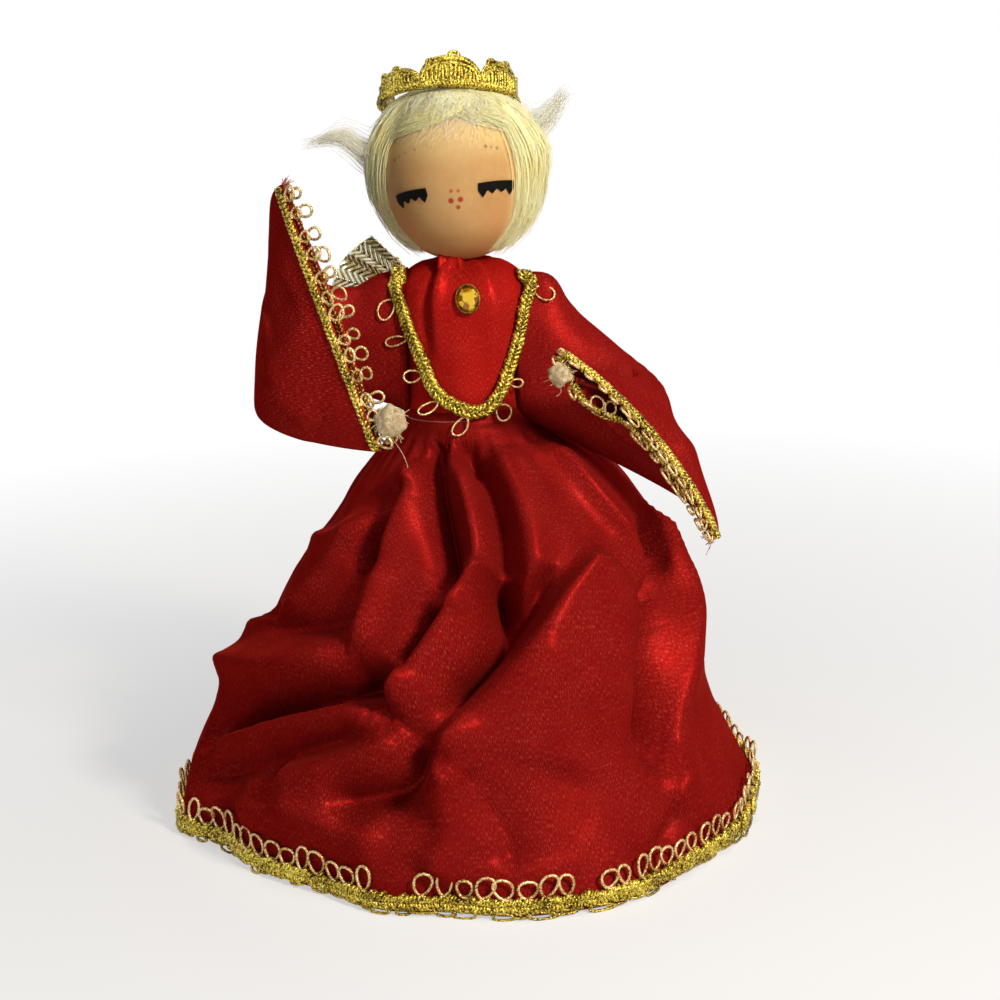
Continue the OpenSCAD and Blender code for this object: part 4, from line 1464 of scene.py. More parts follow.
@dataclass
class Crown:
    """Crown of gold braid: twisted foot, arches with bars between and loops on top."""

    hair: Hair
    lean: float = 24.0
    spread: float = 44.0
    shift: float = -1.7
    seed: int = 3
    arches: int = 7
    arch_rise: float = 7.4
    uneven: float = 0.24
    sit: float = 0.7
    weave: float = 0.6
    least_rise: float = 3.2
    foot_level: float = 1.1
    foot_cord: float = 0.46
    foot_plaits: tuple[Plait, ...] = (
        Plait(width=2.0, depth=0.9, strands=4, pitch=3.4),
        Plait(width=1.6, depth=0.7, strands=3, pitch=3.0, lift=0.35),
    )
    # share of the arch's height and distance out of each cord
    arch_layers: Pairs = ((1.0, 0.5), (0.86, 1.1), (0.7, 0.9))
    arch_foot: float = 1.6
    arch_cord: float = 0.55
    bars: int = 13
    bar_foot: float = 1.2
    bar_share: float = 0.76
    bar_cord: float = 0.42
    # power of the arches' outline, where 2 is round
    square: float = 2.6
    loop_spots: tuple[float, ...] = (-0.55, 0.1)
    loop_size: float = 2.6
    loop_cord: float = 0.5

    def foot(self, turn: Points, grow: Points | float) -> Points:
        """Points of the crown's foot on the hair, grown outwards.

        Args:
            turn: degrees round the crown.
            grow: millimetres outwards.

        Returns:
            One row of x, y, z for each place.
        """
        t, s, k = np.radians(turn), math.radians(self.spread), math.radians(self.lean)
        x = math.sin(s) * np.sin(t)
        y = -math.sin(s) * np.cos(t) * math.cos(k) + math.cos(s) * math.sin(k)
        z = math.sin(s) * np.cos(t) * math.sin(k) + math.cos(s) * math.cos(k)
        a, bearing = np.degrees(np.arccos(z)), np.degrees(np.arctan2(x, -y))
        return self.hair.head.over(a, bearing, self.hair.over(a, bearing) + 0.3 + grow * math.sin(s))

    def at(self, turn: Points, rise: Points, grow: Points | float = 0.6) -> Points:
        """Points of the crown by turn, rise over its foot and distance out.

        Args:
            turn: degrees round the crown.
            rise: millimetres over the foot.
            grow: millimetres outwards.

        Returns:
            One row of x, y, z for each place.
        """
        axis = np.array([0, math.sin(math.radians(self.lean)), math.cos(math.radians(self.lean))])
        p = self.foot(turn, grow) + axis * (np.asarray(rise)[..., None] + self.sit)
        return p + np.array([self.shift, 0.0, 0.0])

    def build(self) -> None:
        """Make the woven band, its foot, the arches, the bars and the loops."""
        rng = random.Random(self.seed)
        step = 360 / self.arches
        middles = [i * step + 4 + rng.uniform(-3, 3) for i in range(self.arches)]
        sides = [1 + self.uneven * math.sin(math.radians(turn)) for turn in middles]
        tall = [self.arch_rise * rng.uniform(0.86, 1.08) * share for share in sides]

        def scallop(turn: Points) -> Points:
            """Height of the arches at a turn.

            Args:
                turn: degrees round the crown.

            Returns:
                Millimetres over the foot.
            """
            rise = np.zeros_like(turn)
            for middle, high in zip(middles, tall):
                t = ((turn - middle + 180) % 360 - 180) / (step * 0.56)
                rise = np.maximum(rise, high * np.sqrt(np.clip(1 - np.abs(t) ** 2.4, 0, 1)))
            return np.maximum(rise, self.least_rise)

        def band(u: Points, v: Points) -> Points:
            """Points of the woven band."""
            turn = u * 360
            return self.at(turn, v * scallop(turn) * 0.94, 0.3 + 0.2 * np.sin(np.pi * v))

        woven = sheet_mesh(band, columns=210, rows=12, size=(120.0, 9.0), wrap=True)
        cloth_thickness(piece("crown_weave", woven, BRAID, "gold_braid", Body.TRUNK), self.weave)
        turn = np.linspace(0, 360, 241)[:-1]
        level = np.full_like(turn, self.foot_level)
        base = Route(self.at(turn, level), unit(self.at(turn, level, 2.0) - self.at(turn, level, 0.0)), closed=True)
        foot = cord_mesh(plaited(self.foot_plaits, base, rng), self.foot_cord, closed=True)
        piece("crown_foot_braid", foot, BRAID, "gold_braid", Body.TRUNK, "crown_band")
        arcs, bars, loops = [], [], []
        for middle, high in zip(middles, tall):
            t = np.linspace(-1, 1, 25)
            for share, out in self.arch_layers:
                arch = np.sqrt(np.maximum(1 - np.abs(t) ** self.square, 0))
                arch = self.arch_foot + (high - self.arch_foot) * share * arch
                arcs.append(self.at(middle + t * step * 0.52 * (0.6 + 0.4 * share), arch, out))
            for bar in np.linspace(-0.84, 0.84, self.bars):
                reach = (high - self.bar_foot) * self.bar_share * math.sqrt(1 - abs(bar) ** self.square)
                rise = np.linspace(self.bar_foot, self.bar_foot + reach, 6)
                wave = 0.8 + 0.45 * np.sin(np.linspace(0, np.pi, 6))
                lean = 1.5 * math.sin(9 * bar) * np.linspace(0, 1, 6)
                bars.append(self.at(middle + bar * step * 0.44 + lean, rise, wave))
            for spot in self.loop_spots:
                x, y = teardrop(steps=13, width=self.loop_size, height=self.loop_size, cross=0.4)
                top = high * math.sqrt(1 - abs(spot) ** 2.4) - 1.5 + y * rng.uniform(0.5, 1.0)
                loops.append(self.at(middle + spot * step * 0.56 + np.degrees(x / 18), top, 0.6 + 0.3 * y))
        piece("crown_arches", cord_mesh(arcs, self.arch_cord), BRAID, "gold_braid", Body.TRUNK)
        piece("crown_bars", cord_mesh(bars, self.bar_cord), BRAID, "gold_braid", Body.TRUNK)
        piece("crown_top_loops", cord_mesh(loops, self.loop_cord), BRAID, "gold_cord", Body.TRUNK, "crown_loops")


# ---------------------------------------------------------------- gown


@dataclass
class Bodice:
    """Satin bodice with a tucked neck, a U of looped braid and a stone."""

    torso: Torso
    cloth: float = 0.35
    foot: float = 0.1
    braid_width: float = 4.0
    route: Pairs = (
        (-16.6, 149.8), (-15.2, 142.2), (-13.2, 134.6), (-10.1, 126.2), (-6.5, 118.8), (-0.1, 114.3), (5.1, 114.6),
        (9.1, 119.5), (12.0, 127.0), (14.2, 134.0), (15.6, 141.0), (16.4, 147.6),
    )
    shoulder: float = 0.82
    neck: float = 2.6
    neck_z: float = 152.2
    tuft_cloth: float = 0.3
    tuft_z: float = 149.2
    tuft_bearing: float = -20.0
    braid_cord: float = 0.55
    plaits: tuple[Plait, ...] = (
        Plait(width=2.9, depth=1.2, strands=5, pitch=6.0),
        Plait(width=2.7, depth=1.0, strands=5, pitch=6.0, lift=0.25),
    )
    loop_cord: float = 0.28
    loops: LoopRow = LoopRow(
        pitch=8.4, width=3.3, height=4.6, cord=0.3, wander=0.35, lean=0.12, steps=17, bare=((0.74, 0.86),)
    )
    seed: int = 21
    stone_x: float = 1.5
    stone_z: float = 143.0
    stone_oval: float = 1.2
    # radius and height of each ring, from the back
    stone_rings: Pairs = ((2.95, 0.15), (3.0, 0.9), (2.55, 1.75), (1.45, 2.6))
    rim_rings: Pairs = ((3.25, 0.0), (3.3, 0.6), (3.15, 0.95), (2.95, 0.85))

    def build(self) -> None:
        """Make the cloth, the tuck, the trim and the stone."""
        cloth = self.satin()
        braid, loops = self.trim()
        self.stone()

    def grow(self, f: Points, bearing: Points) -> Points:
        """Height of the cloth over the torso: soft pleats that run down from the neck.

        Args:
            f: shares of the torso's height.
            bearing: degrees from the front.

        Returns:
            Millimetres over the torso.
        """
        b = np.radians(bearing)
        tuck = 1.1 * swell(bearing, -22, 6) * ease((f - 0.35) / 0.5)
        pull = 0.8 * swell(bearing, 26, 8) * ease((f - 0.2) / 0.5)
        dart = -0.7 * swell(bearing, -33, 5) * ease((f - 0.3) / 0.4)
        ripple = 0.18 * np.sin(9 * b + 5 * f) * ease(f / 0.4)
        return 1.0 + tuck + pull + dart + ripple

    def satin(self) -> Piece:
        """Cloth over the torso, closed over the shoulders up to the neck.

        Returns:
            The piece.
        """

        def place(u: Points, v: Points) -> Points:
            """Points of the cloth; v runs up to the shoulder and in to the neck.

            Args:
                u: shares across.
                v: shares up.

            Returns:
                One row of x, y, z for each place.
            """
            bearing = u * 360 - 180
            f = self.foot + (1 - self.foot) * np.minimum(v / self.shoulder, 1)
            inward = ease((v - self.shoulder) / (1 - self.shoulder))
            p = self.torso.point(f, bearing, self.grow(f, bearing))
            neck = outward(bearing) * self.neck + np.array([0.0, 0.0, self.neck_z])
            return mix(p, neck, inward[:, None] ** 1.2)

        mesh = sheet_mesh(place, columns=150, rows=70, size=(110.0, 52.0), wrap=True)
        # the bodice takes the satin painted lighter, as light on its front
        made = piece("bodice_satin", mesh, SATIN_PAINTED_LIGHTER, "satin", Body.TRUNK, "bodice")
        cloth_thickness(made, self.cloth)
        self.tuft()
        return made

    def tuft(self) -> None:
        """Gathered ends of satin that stand up under the chin."""

        def place(u: Points, v: Points) -> Points:
            """Points of a crumpled frill round the neck, highest at the front.

            Args:
                u: shares across.
                v: shares up.

            Returns:
                One row of x, y, z for each place.
            """
            bearing = u * 360 - 180
            b = np.radians(bearing)
            front = swell(bearing, self.tuft_bearing, 34)
            reach = 4.2 + 6.2 * front * (1 - 0.25 * v) + 0.8 * np.sin(11 * b + 2 * v) + 0.4 * np.sin(23 * b)
            z = self.tuft_z + (2.4 + 3.6 * front) * v + 0.4 * np.sin(17 * b) * v
            return np.stack([reach * np.sin(b) - 1.0 * front, -reach * np.cos(b), z], axis=-1)

        mesh = sheet_mesh(place, columns=140, rows=10, size=(60.0, 6.0), wrap=True)
        made = piece("neck_tuft", mesh, SATIN_PAINTED_LIGHTER, "satin", Body.TRUNK)
        cloth_thickness(made, self.tuft_cloth)

    def line(self, offset: float, lift: float) -> Route:
        """Route of the braid, moved across it and lifted.

        Args:
            offset: millimetres across the braid.
            lift: millimetres off the cloth.

        Returns:
            The route.
        """
        flat = smooth_line(np.array(self.route), count=90)
        point, out = self.torso.front(flat[:, 0], flat[:, 1], grow=1.0)
        low = 1 - ease((flat[:, 1] - self.torso.waist_z - 8) / 12)
        high = ease((flat[:, 1] - 139.5) / 6)
        point = point + out * (0.6 + 0.8 * low + 1.8 * high + lift)[:, None]
        side = np.cross(unit(np.gradient(point, axis=0)), out)
        return Route(point + side * offset, out)

    def trim(self) -> tuple[Piece, Piece]:
        """Flat braid and the loops on its outer edge.

        Returns:
            The braid and the loops.
        """
        rng = random.Random(self.seed)
        mesh = cord_mesh(plaited(self.plaits, self.line(offset=0.0, lift=0.5), rng), self.braid_cord)
        braid = piece("bodice_plait", mesh, BRAID, "gold_braid", Body.TRUNK, "bodice_braid")
        edge = self.line(offset=self.braid_width / 2 - 0.6, lift=0.6)
        edge = Route(edge.points, unit(0.3 * edge.out + np.array([0.0, -1.0, 0.2])))
        mesh = cord_mesh(self.loops.tracks(edge, rng, start=0.03, stop=0.97), self.loop_cord)
        return braid, piece("bodice_cord_loops", mesh, CORD, "gold_cord", Body.TRUNK, "bodice_loops")

    def stone(self) -> None:
        """Oval stone cut with facets, in a thin stamped rim."""
        point, out = self.torso.front(np.array([self.stone_x]), np.array([self.stone_z]), grow=1.3)
        turn = Vector(out[0]).to_track_quat("Z", "Y")
        for name, finish, slot, node, sides, rings in (
            ("gem_facets", GLASS, "gem", "gem_stone", 10, self.stone_rings),
            ("gem_rim", SETTING, "gem_setting", "gem_foil", 32, self.rim_rings),
        ):
            cut = finish is GLASS
            bm = bmesh.new()
            edges = []
            for radius, rise in rings:
                ring = bmesh.ops.create_circle(bm, segments=sides, radius=radius)["verts"]
                for vert in ring:
                    vert.co = (vert.co.x, vert.co.y * self.stone_oval, rise)
                edges.append(list({e for v in ring for e in v.link_edges}))
            for low, high in zip(edges, edges[1:]):
                bmesh.ops.bridge_loops(bm, edges=low + high)
            for closed in (edges[-1], edges[0]) if cut else (edges[0],):
                bmesh.ops.contextual_create(bm, geom=closed)
            bmesh.ops.recalc_face_normals(bm, faces=bm.faces)
            for vert in bm.verts:
                vert.co = (Vector(point[0]) + turn @ vert.co) * MM
            piece(name, mesh_of(bm, name), finish, slot, Body.TRUNK, node, smooth=not cut)


SKIRT_FOLDS = (
    # pleats that hang from the waist
    Fold(((-27, 105), (-35, 96), (-41, 90), (-55, 84), (-70, 79), (-84, 76), (-102, 73)), 3.6, 3.5, 6.0),
    Fold(((-45, 88), (-54, 81), (-60, 71), (-70, 61), (-84, 54), (-102, 47)), 4.0, 3.2, 5.0),
    Fold(((-36, 98), (-42, 85), (-42, 80), (-43, 75)), -9.0, 3.0, 3.8),
    Fold(((-33, 68), (-47, 64), (-66, 59), (-84, 57), (-102, 55)), -5.0, 3.0, 4.0),
    Fold(((-27, 103), (-29, 93), (-31, 83), (-31, 73), (-32, 61), (-34, 57)), 5.5, 3.2, 5.0),
    Fold(((-24, 108), (-15, 96), (-9, 86), (-6, 79), (-8, 74)), -11.0, 2.6, 3.4),
    Fold(((-17, 107), (-2, 97), (2, 88), (2, 80), (-3, 74)), 6.5, 2.4, 5.0),
    Fold(((-6, 108), (9, 101), (13, 91), (12, 80), (12, 71), (14, 64)), -10.5, 2.5, 3.4),
    Fold(((15, 106), (20, 95), (20, 81), (15, 69)), 5.5, 3.0, 6.0),
    # the tube that falls to the doll's right, and the creases on both sides of it
    Fold(((11, 81), (2, 73), (-6, 64), (-13, 55), (-19, 46)), 10.5, 3.2, 5.5, 0.35),
    Fold(((-7, 71), (-12, 63), (-17, 56)), -9.5, 2.6, 3.2),
    Fold(((12, 78), (11, 69), (10, 62), (4, 54), (-4, 48)), -10.5, 2.6, 3.4),
    # swags that run round to the doll's right
    Fold(((-33, 61), (-46, 56), (-62, 51), (-72, 48), (-80, 45), (-98, 38)), 7.0, 3.6, 5.5, -0.3),
    Fold(((-17, 55), (-31, 52), (-45, 45), (-62, 37), (-74, 29), (-84, 24)), -14.0, 3.6, 4.8),
    Fold(((-19, 46), (-34, 44), (-49, 39), (-60, 32), (-70, 27), (-78, 23)), 8.0, 3.6, 7.0, 0.2),
    Fold(((-20, 42), (-30, 39), (-45, 32), (-60, 24), (-78, 15)), -6.5, 3.2, 4.0),
    Fold(((-14, 43), (-23, 37), (-35, 31), (-49, 25)), 6.5, 4.2, 7.0),
    Fold(((-5, 42), (-8, 37), (-13, 31), (-24, 27), (-33, 24)), -8.0, 3.2, 4.4),
    # the long ridge over the front and its crease
    Fold(((47, 80), (31, 71), (17, 60), (5, 50), (-3, 41), (-6, 32), (-11, 24)), 11.5, 3.4, 12.0, 0.35),
    Fold(((27, 79), (16, 67), (10, 60), (0, 51), (-6, 43)), -8.5, 2.6, 3.2),
    # the doll's left side
    Fold(((50, 105), (53, 93), (58, 82), (63, 65)), 4.5, 2.4, 6.0),
    Fold(((75, 82), (62, 66), (53, 52), (48, 38), (43, 24)), -12.5, 5.0, 7.0),
    Fold(((85, 85), (80, 65), (68, 50), (56, 35), (49, 21), (41, 11)), 5.5, 3.6, 8.0),
    # low bulges and dimples over the hem
    Fold(((-17, 18), (-26, 18), (-40, 19), (-61, 14)), 4.0, 3.6, 5.5),
    Fold(((-2, 33), (2, 27), (6, 20), (7, 11)), -4.0, 4.0, 4.6),
    Fold(((47, 17), (40, 10), (31, 4)), -3.5, 3.6, 4.0),
    Fold(((-2, 34), (-6, 27), (-6, 17), (-10, 9)), 5.0, 4.6, 7.5),
    Fold(((30, 57), (22, 44), (17, 31)), 3.4, 9.0, 12.0),
)


@dataclass
class Skirt:
    """Gathered satin skirt with deep folds, a tied waist and a looped braid on the hem."""

    waist: float = 16.1
    gather_z: float = 108.0
    top_z: float = 113.1
    hem_z: float = 0.6
    # height and radius of the skirt's sides
    right_outline: Pairs = (
        (0, 79), (13, 78), (24, 74), (36, 68), (46, 62), (54, 57.5), (65, 49), (76, 38.5), (87, 33), (98, 25),
        (108, 16.1),
    )
    left_outline: Pairs = (
        (0, 78), (9, 74.5), (21, 68.5), (32, 63.5), (50, 62), (62, 59.5), (78, 51), (90, 43), (98, 36), (104, 27),
        (108, 16.1),
    )
    # bearing and distance that the hem waves out
    hem_wave: Pairs = (
        (-180, 0), (-92, 2.0), (-74, 4.4), (-66, -3.6), (-45, -6.6), (-30, -5.2), (-18, -0.8), (-4, -2.4),
        (10, 1.0), (23, 4.2), (31, 3.0), (42, 0), (58, -1.4), (75, 0), (180, 0),
    )
    cloth: float = 0.4
    front_share: float = 12.0
    back_gathers: int = 9
    back_rise: float = 3.0
    back_ripples: int = 23
    back_ripple: float = 0.9
    pleats: int = 34
    pleat_z: float = 104.0
    crumple: float = 0.1
    hem_fade: float = 48.0
    ripple_fade: float = 30.0
    corner: float = 5.0
    wave_corner: float = 3.0
    cone_foot: float = 60.0
    cone_top: float = 13.0
    cone_height: float = 106.0
    cone_gap: float = 1.6
    bare_hem: Pairs = ((-18.5, -9.5), (19.5, 24.5))
    rosettes: tuple[float, ...] = (44.7, 57.1, 65.1, 72.6)
    seed: int = 14
    rosette_radius: float = 2.3
    rosette_turns: float = 3.2
    thread_z: tuple[float, ...] = (110.2, 110.9)
    thread_radius: float = 0.16
    braid_cord: float = 0.46
    plaits: tuple[Plait, ...] = (
        Plait(width=3.0, depth=1.3, strands=4, pitch=3.6, loose=0.32),
        Plait(width=2.7, depth=1.1, strands=4, pitch=3.1, lift=0.3, loose=0.32),
    )
    loop_cord: float = 0.4
    rosette_cord: float = 0.42
    folds: tuple[Fold, ...] = SKIRT_FOLDS

    def eased(self, x: Points, pairs: Pairs, corner: float) -> Points:
        """Values between those of a list, with its corners eased over a reach."""
        return sum(read_pairs(x + d * corner, pairs) for d in (-1, -0.5, 0, 0.5, 1)) / 5

    def bell(self, bearing: Points, z: Points) -> Points:
        """Radius of the smooth bell."""
        right, left = (self.eased(z, side, self.corner) for side in (self.right_outline, self.left_outline))
        return mix(right, left, (1 + np.sin(np.radians(bearing))) / 2)

    def smooth(self, bearing: Points, z: Points) -> Points:
        """Points of the smooth bell."""
        r, b = self.bell(bearing, z), np.radians(bearing)
        return np.stack([r * np.sin(b), -r * np.cos(b), z], axis=-1)

    def out(self, bearing: Points, z: Points) -> Points:
        """Ways out of the smooth bell.

        Args:
            bearing: degrees from the front.
            z: heights.

        Returns:
            One way out for each place.
        """
        across = self.smooth(bearing + 0.5, z) - self.smooth(bearing - 0.5, z)
        up = self.smooth(bearing, z + 0.3) - self.smooth(bearing, z - 0.3)
        return unit(np.cross(across, up))

    def gathers(self, bearing: Points, z: Points) -> Points:
        """Rise of the back's gathers, the small pleats at the waist and the crumpled cloth.

        Args:
            bearing: degrees from the front.
            z: heights.

        Returns:
            Millimetres out of the smooth bell.
        """
        b, below = np.radians(bearing), self.gather_z - z
        back = ease((np.abs(bearing) - 85) / 30)
        gather = self.back_rise * np.cos(self.back_gathers * b + 0.5 * np.sin(z / 31)) * ease(below / 40)
        fine = self.back_ripple * np.cos(self.back_ripples * b + z / 24) * ease(below / 20) * ease((z - 20) / 50)
        pleat = mix(0.35, 0.9, back) * np.cos(self.pleats * b + 0.6 * np.sin(5 * b)) * swell(z, self.pleat_z, 7)
        x = self.bell(bearing, z) * np.sin(b)
        crumple = self.crumple * np.sin(x / 2.6 + 2 * np.sin(z / 5)) * np.sin(z / 3.1 + 2 * np.sin(x / 7))
        return (gather + fine) * back + pleat + crumple

    def flare(self, bearing: Points, z: Points) -> Points:
        """How far the cloth waves in and out over the hem.

        Args:
            bearing: degrees from the front.
            z: heights.

        Returns:
            Millimetres away from the doll's axis.
        """
        b = np.radians(bearing)
        wave = self.eased(bearing, self.hem_wave, self.wave_corner)
        ripple = 0.7 * np.sin(7 * b + 1) + 0.5 * np.sin(13 * b)
        return wave * (1 - ease(z / self.hem_fade)) + ripple * (1 - ease(z / self.ripple_fade))

    def draped(self, bearing: Points, z: Points) -> Points:
        """Points of the folded cloth, kept off the cone under it.

        Args:
            bearing: degrees from the front.
            z: heights.

        Returns:
            One row of x, y, z for each place.
        """
        base, out, flat = self.smooth(bearing, z), self.out(bearing, z), outward(bearing)
        moved = folded(base, out, self.folds, lambda b, up: (self.smooth(b, up), self.out(b, up)))
        moved += out * self.gathers(bearing, z)[:, None]
        fade = ease((self.gather_z + 2 - z) / 7) * (0.12 + 0.88 * ease((z - self.hem_z) / 12))
        p = base + moved * fade[:, None] + flat * self.flare(bearing, z)[:, None]
        inside = np.maximum(self.cone_radius(p[:, 2]) + self.cone_gap - np.hypot(p[:, 0], p[:, 1]), 0)
        return p + flat * inside[:, None]

    def cone_radius(self, z: Points) -> Points:
        """Radius of the card cone under the skirt."""
        return mix(self.cone_foot, self.cone_top, np.clip(z / self.cone_height, 0, 1))

    def build(self) -> None:
        """Make the cloth, the waist thread and the hem trim."""
        cloth = self.satin()
        trims = self.hem_trim()
        self.thread()

    def satin(self) -> Piece:
        """Cloth from the hem to the tied waist.

        Returns:
            The piece.
        """

        def place(u: Points, v: Points) -> Points:
            """Points of the cloth; v runs from the hem up, closer together near the waist.

            Args:
                u: shares across.
                v: shares up.

            Returns:
                One row of x, y, z for each place.
            """
            bearing = u * 360 - 180 + self.front_share * np.sin(2 * np.pi * u)
            z = self.hem_z + (self.top_z - self.hem_z) * (1 - (1 - v) ** 1.35)
            return self.draped(bearing, z)

        mesh = sheet_mesh(place, columns=330, rows=140, size=(420.0, 135.0), wrap=True)
        made = piece("skirt_satin", mesh, SATIN, "satin", Body.TRUNK, "skirt")
        cloth_thickness(made, self.cloth)
        return made

    def thread(self) -> None:
        """Clear thread tied round the waist."""
        turn, r = np.linspace(0, 2 * np.pi, 121)[:-1], self.waist + 0.5
        tracks = [
            np.stack([r * np.sin(turn), -r * np.cos(turn), z + 0.4 * np.sin(2 * turn + phase)], axis=1)
            for phase, z in enumerate(self.thread_z)
        ]
        mesh = cord_mesh(tracks, self.thread_radius, closed=True)
        piece("waist_tie", mesh, CLEAR_THREAD, "thread", Body.TRUNK, "waist_thread")

    def hem_line(self, z: float, lift: float) -> Route:
        """Route round the hem at a height, lifted off the cloth.

        Args:
            z: height of the route.
            lift: millimetres off the cloth.

        Returns:
            The route.
        """
        bearing = np.linspace(-180, 180, 361)[:-1]
        flat = outward(bearing)
        return Route(self.draped(bearing, np.full_like(bearing, z)) + flat * lift, flat, closed=True)

    def hem_trim(self) -> list[Piece]:
        """Plaited braid, the loops that stand over it, the crushed loops under it and the rosettes.

        Returns:
            The trims.
        """
        rng = random.Random(self.seed)
        route = self.hem_line(z=3.4, lift=0.8)
        mesh = cord_mesh(plaited(self.plaits, route, rng), self.braid_cord, closed=True)
        braid = piece("hem_plait", mesh, BRAID, "gold_braid", Body.TRUNK, "hem_braid")
        edge = self.hem_line(z=5.0, lift=0.9)
        edge = Route(edge.points[:-1][::-1].copy(), edge.out[:-1][::-1].copy(), closed=True)
        bare = tuple(((180 - stop) / 360, (180 - start) / 360) for start, stop in self.bare_hem)
        row = LoopRow(pitch=5.2, width=4.3, height=5.6, cord=0.38, missing=0.02, wander=0.18, bare=bare)
        mesh = cord_mesh(row.tracks(edge, rng), self.loop_cord)
        upper = piece("hem_cord_loops", mesh, CORD, "gold_cord", Body.TRUNK, "hem_loops")
        crushed = LoopRow(pitch=5.0, width=5.2, height=1.3, cord=0.4, missing=0.1, wander=0.45, lean=0.25, steps=13)
        mesh = cord_mesh(crushed.tracks(self.hem_line(z=1.9, lift=0.9), rng), self.loop_cord)
        # the crushed loops take the cord painted darker, as shade under the braid
        lower = piece("hem_crushed_loops", mesh, CORD_PAINTED_DARKER, "gold_cord", Body.TRUNK)
        mesh = cord_mesh([self.rosette(route, bearing, rng) for bearing in self.rosettes], self.rosette_cord)
        return [braid, upper, lower, piece("hem_rosettes", mesh, BRAID, "gold_braid", Body.TRUNK)]

    def rosette(self, route: Route, bearing: float, rng: random.Random) -> Points:
        """Loop pressed flat on the braid, wound into a button.

        Args:
            route: middle line of the braid.
            bearing: where the rosette lies round the hem.
            rng: source of its irregularity.

        Returns:
            The track of its cord, from the middle out.
        """
        point, along, across, out = (r[0] for r in route.at(np.array([(bearing + 180) / 360 * route.length])))
        t = np.linspace(0.12, 1, 64)
        turn = 2 * np.pi * self.rosette_turns * t + rng.uniform(0, 6)
        r = self.rosette_radius * t * (1 + 0.06 * np.sin(3 * turn))
        lift = 1.5 + 0.5 * (1 - t) + 0.15 * np.sin(9 * turn)
        flat = np.outer(r * np.cos(turn), along) + np.outer(r * np.sin(turn) * 1.1 - 1.0, across)
        return point + flat + np.outer(lift, out)


# ---------------------------------------------------------------- arms


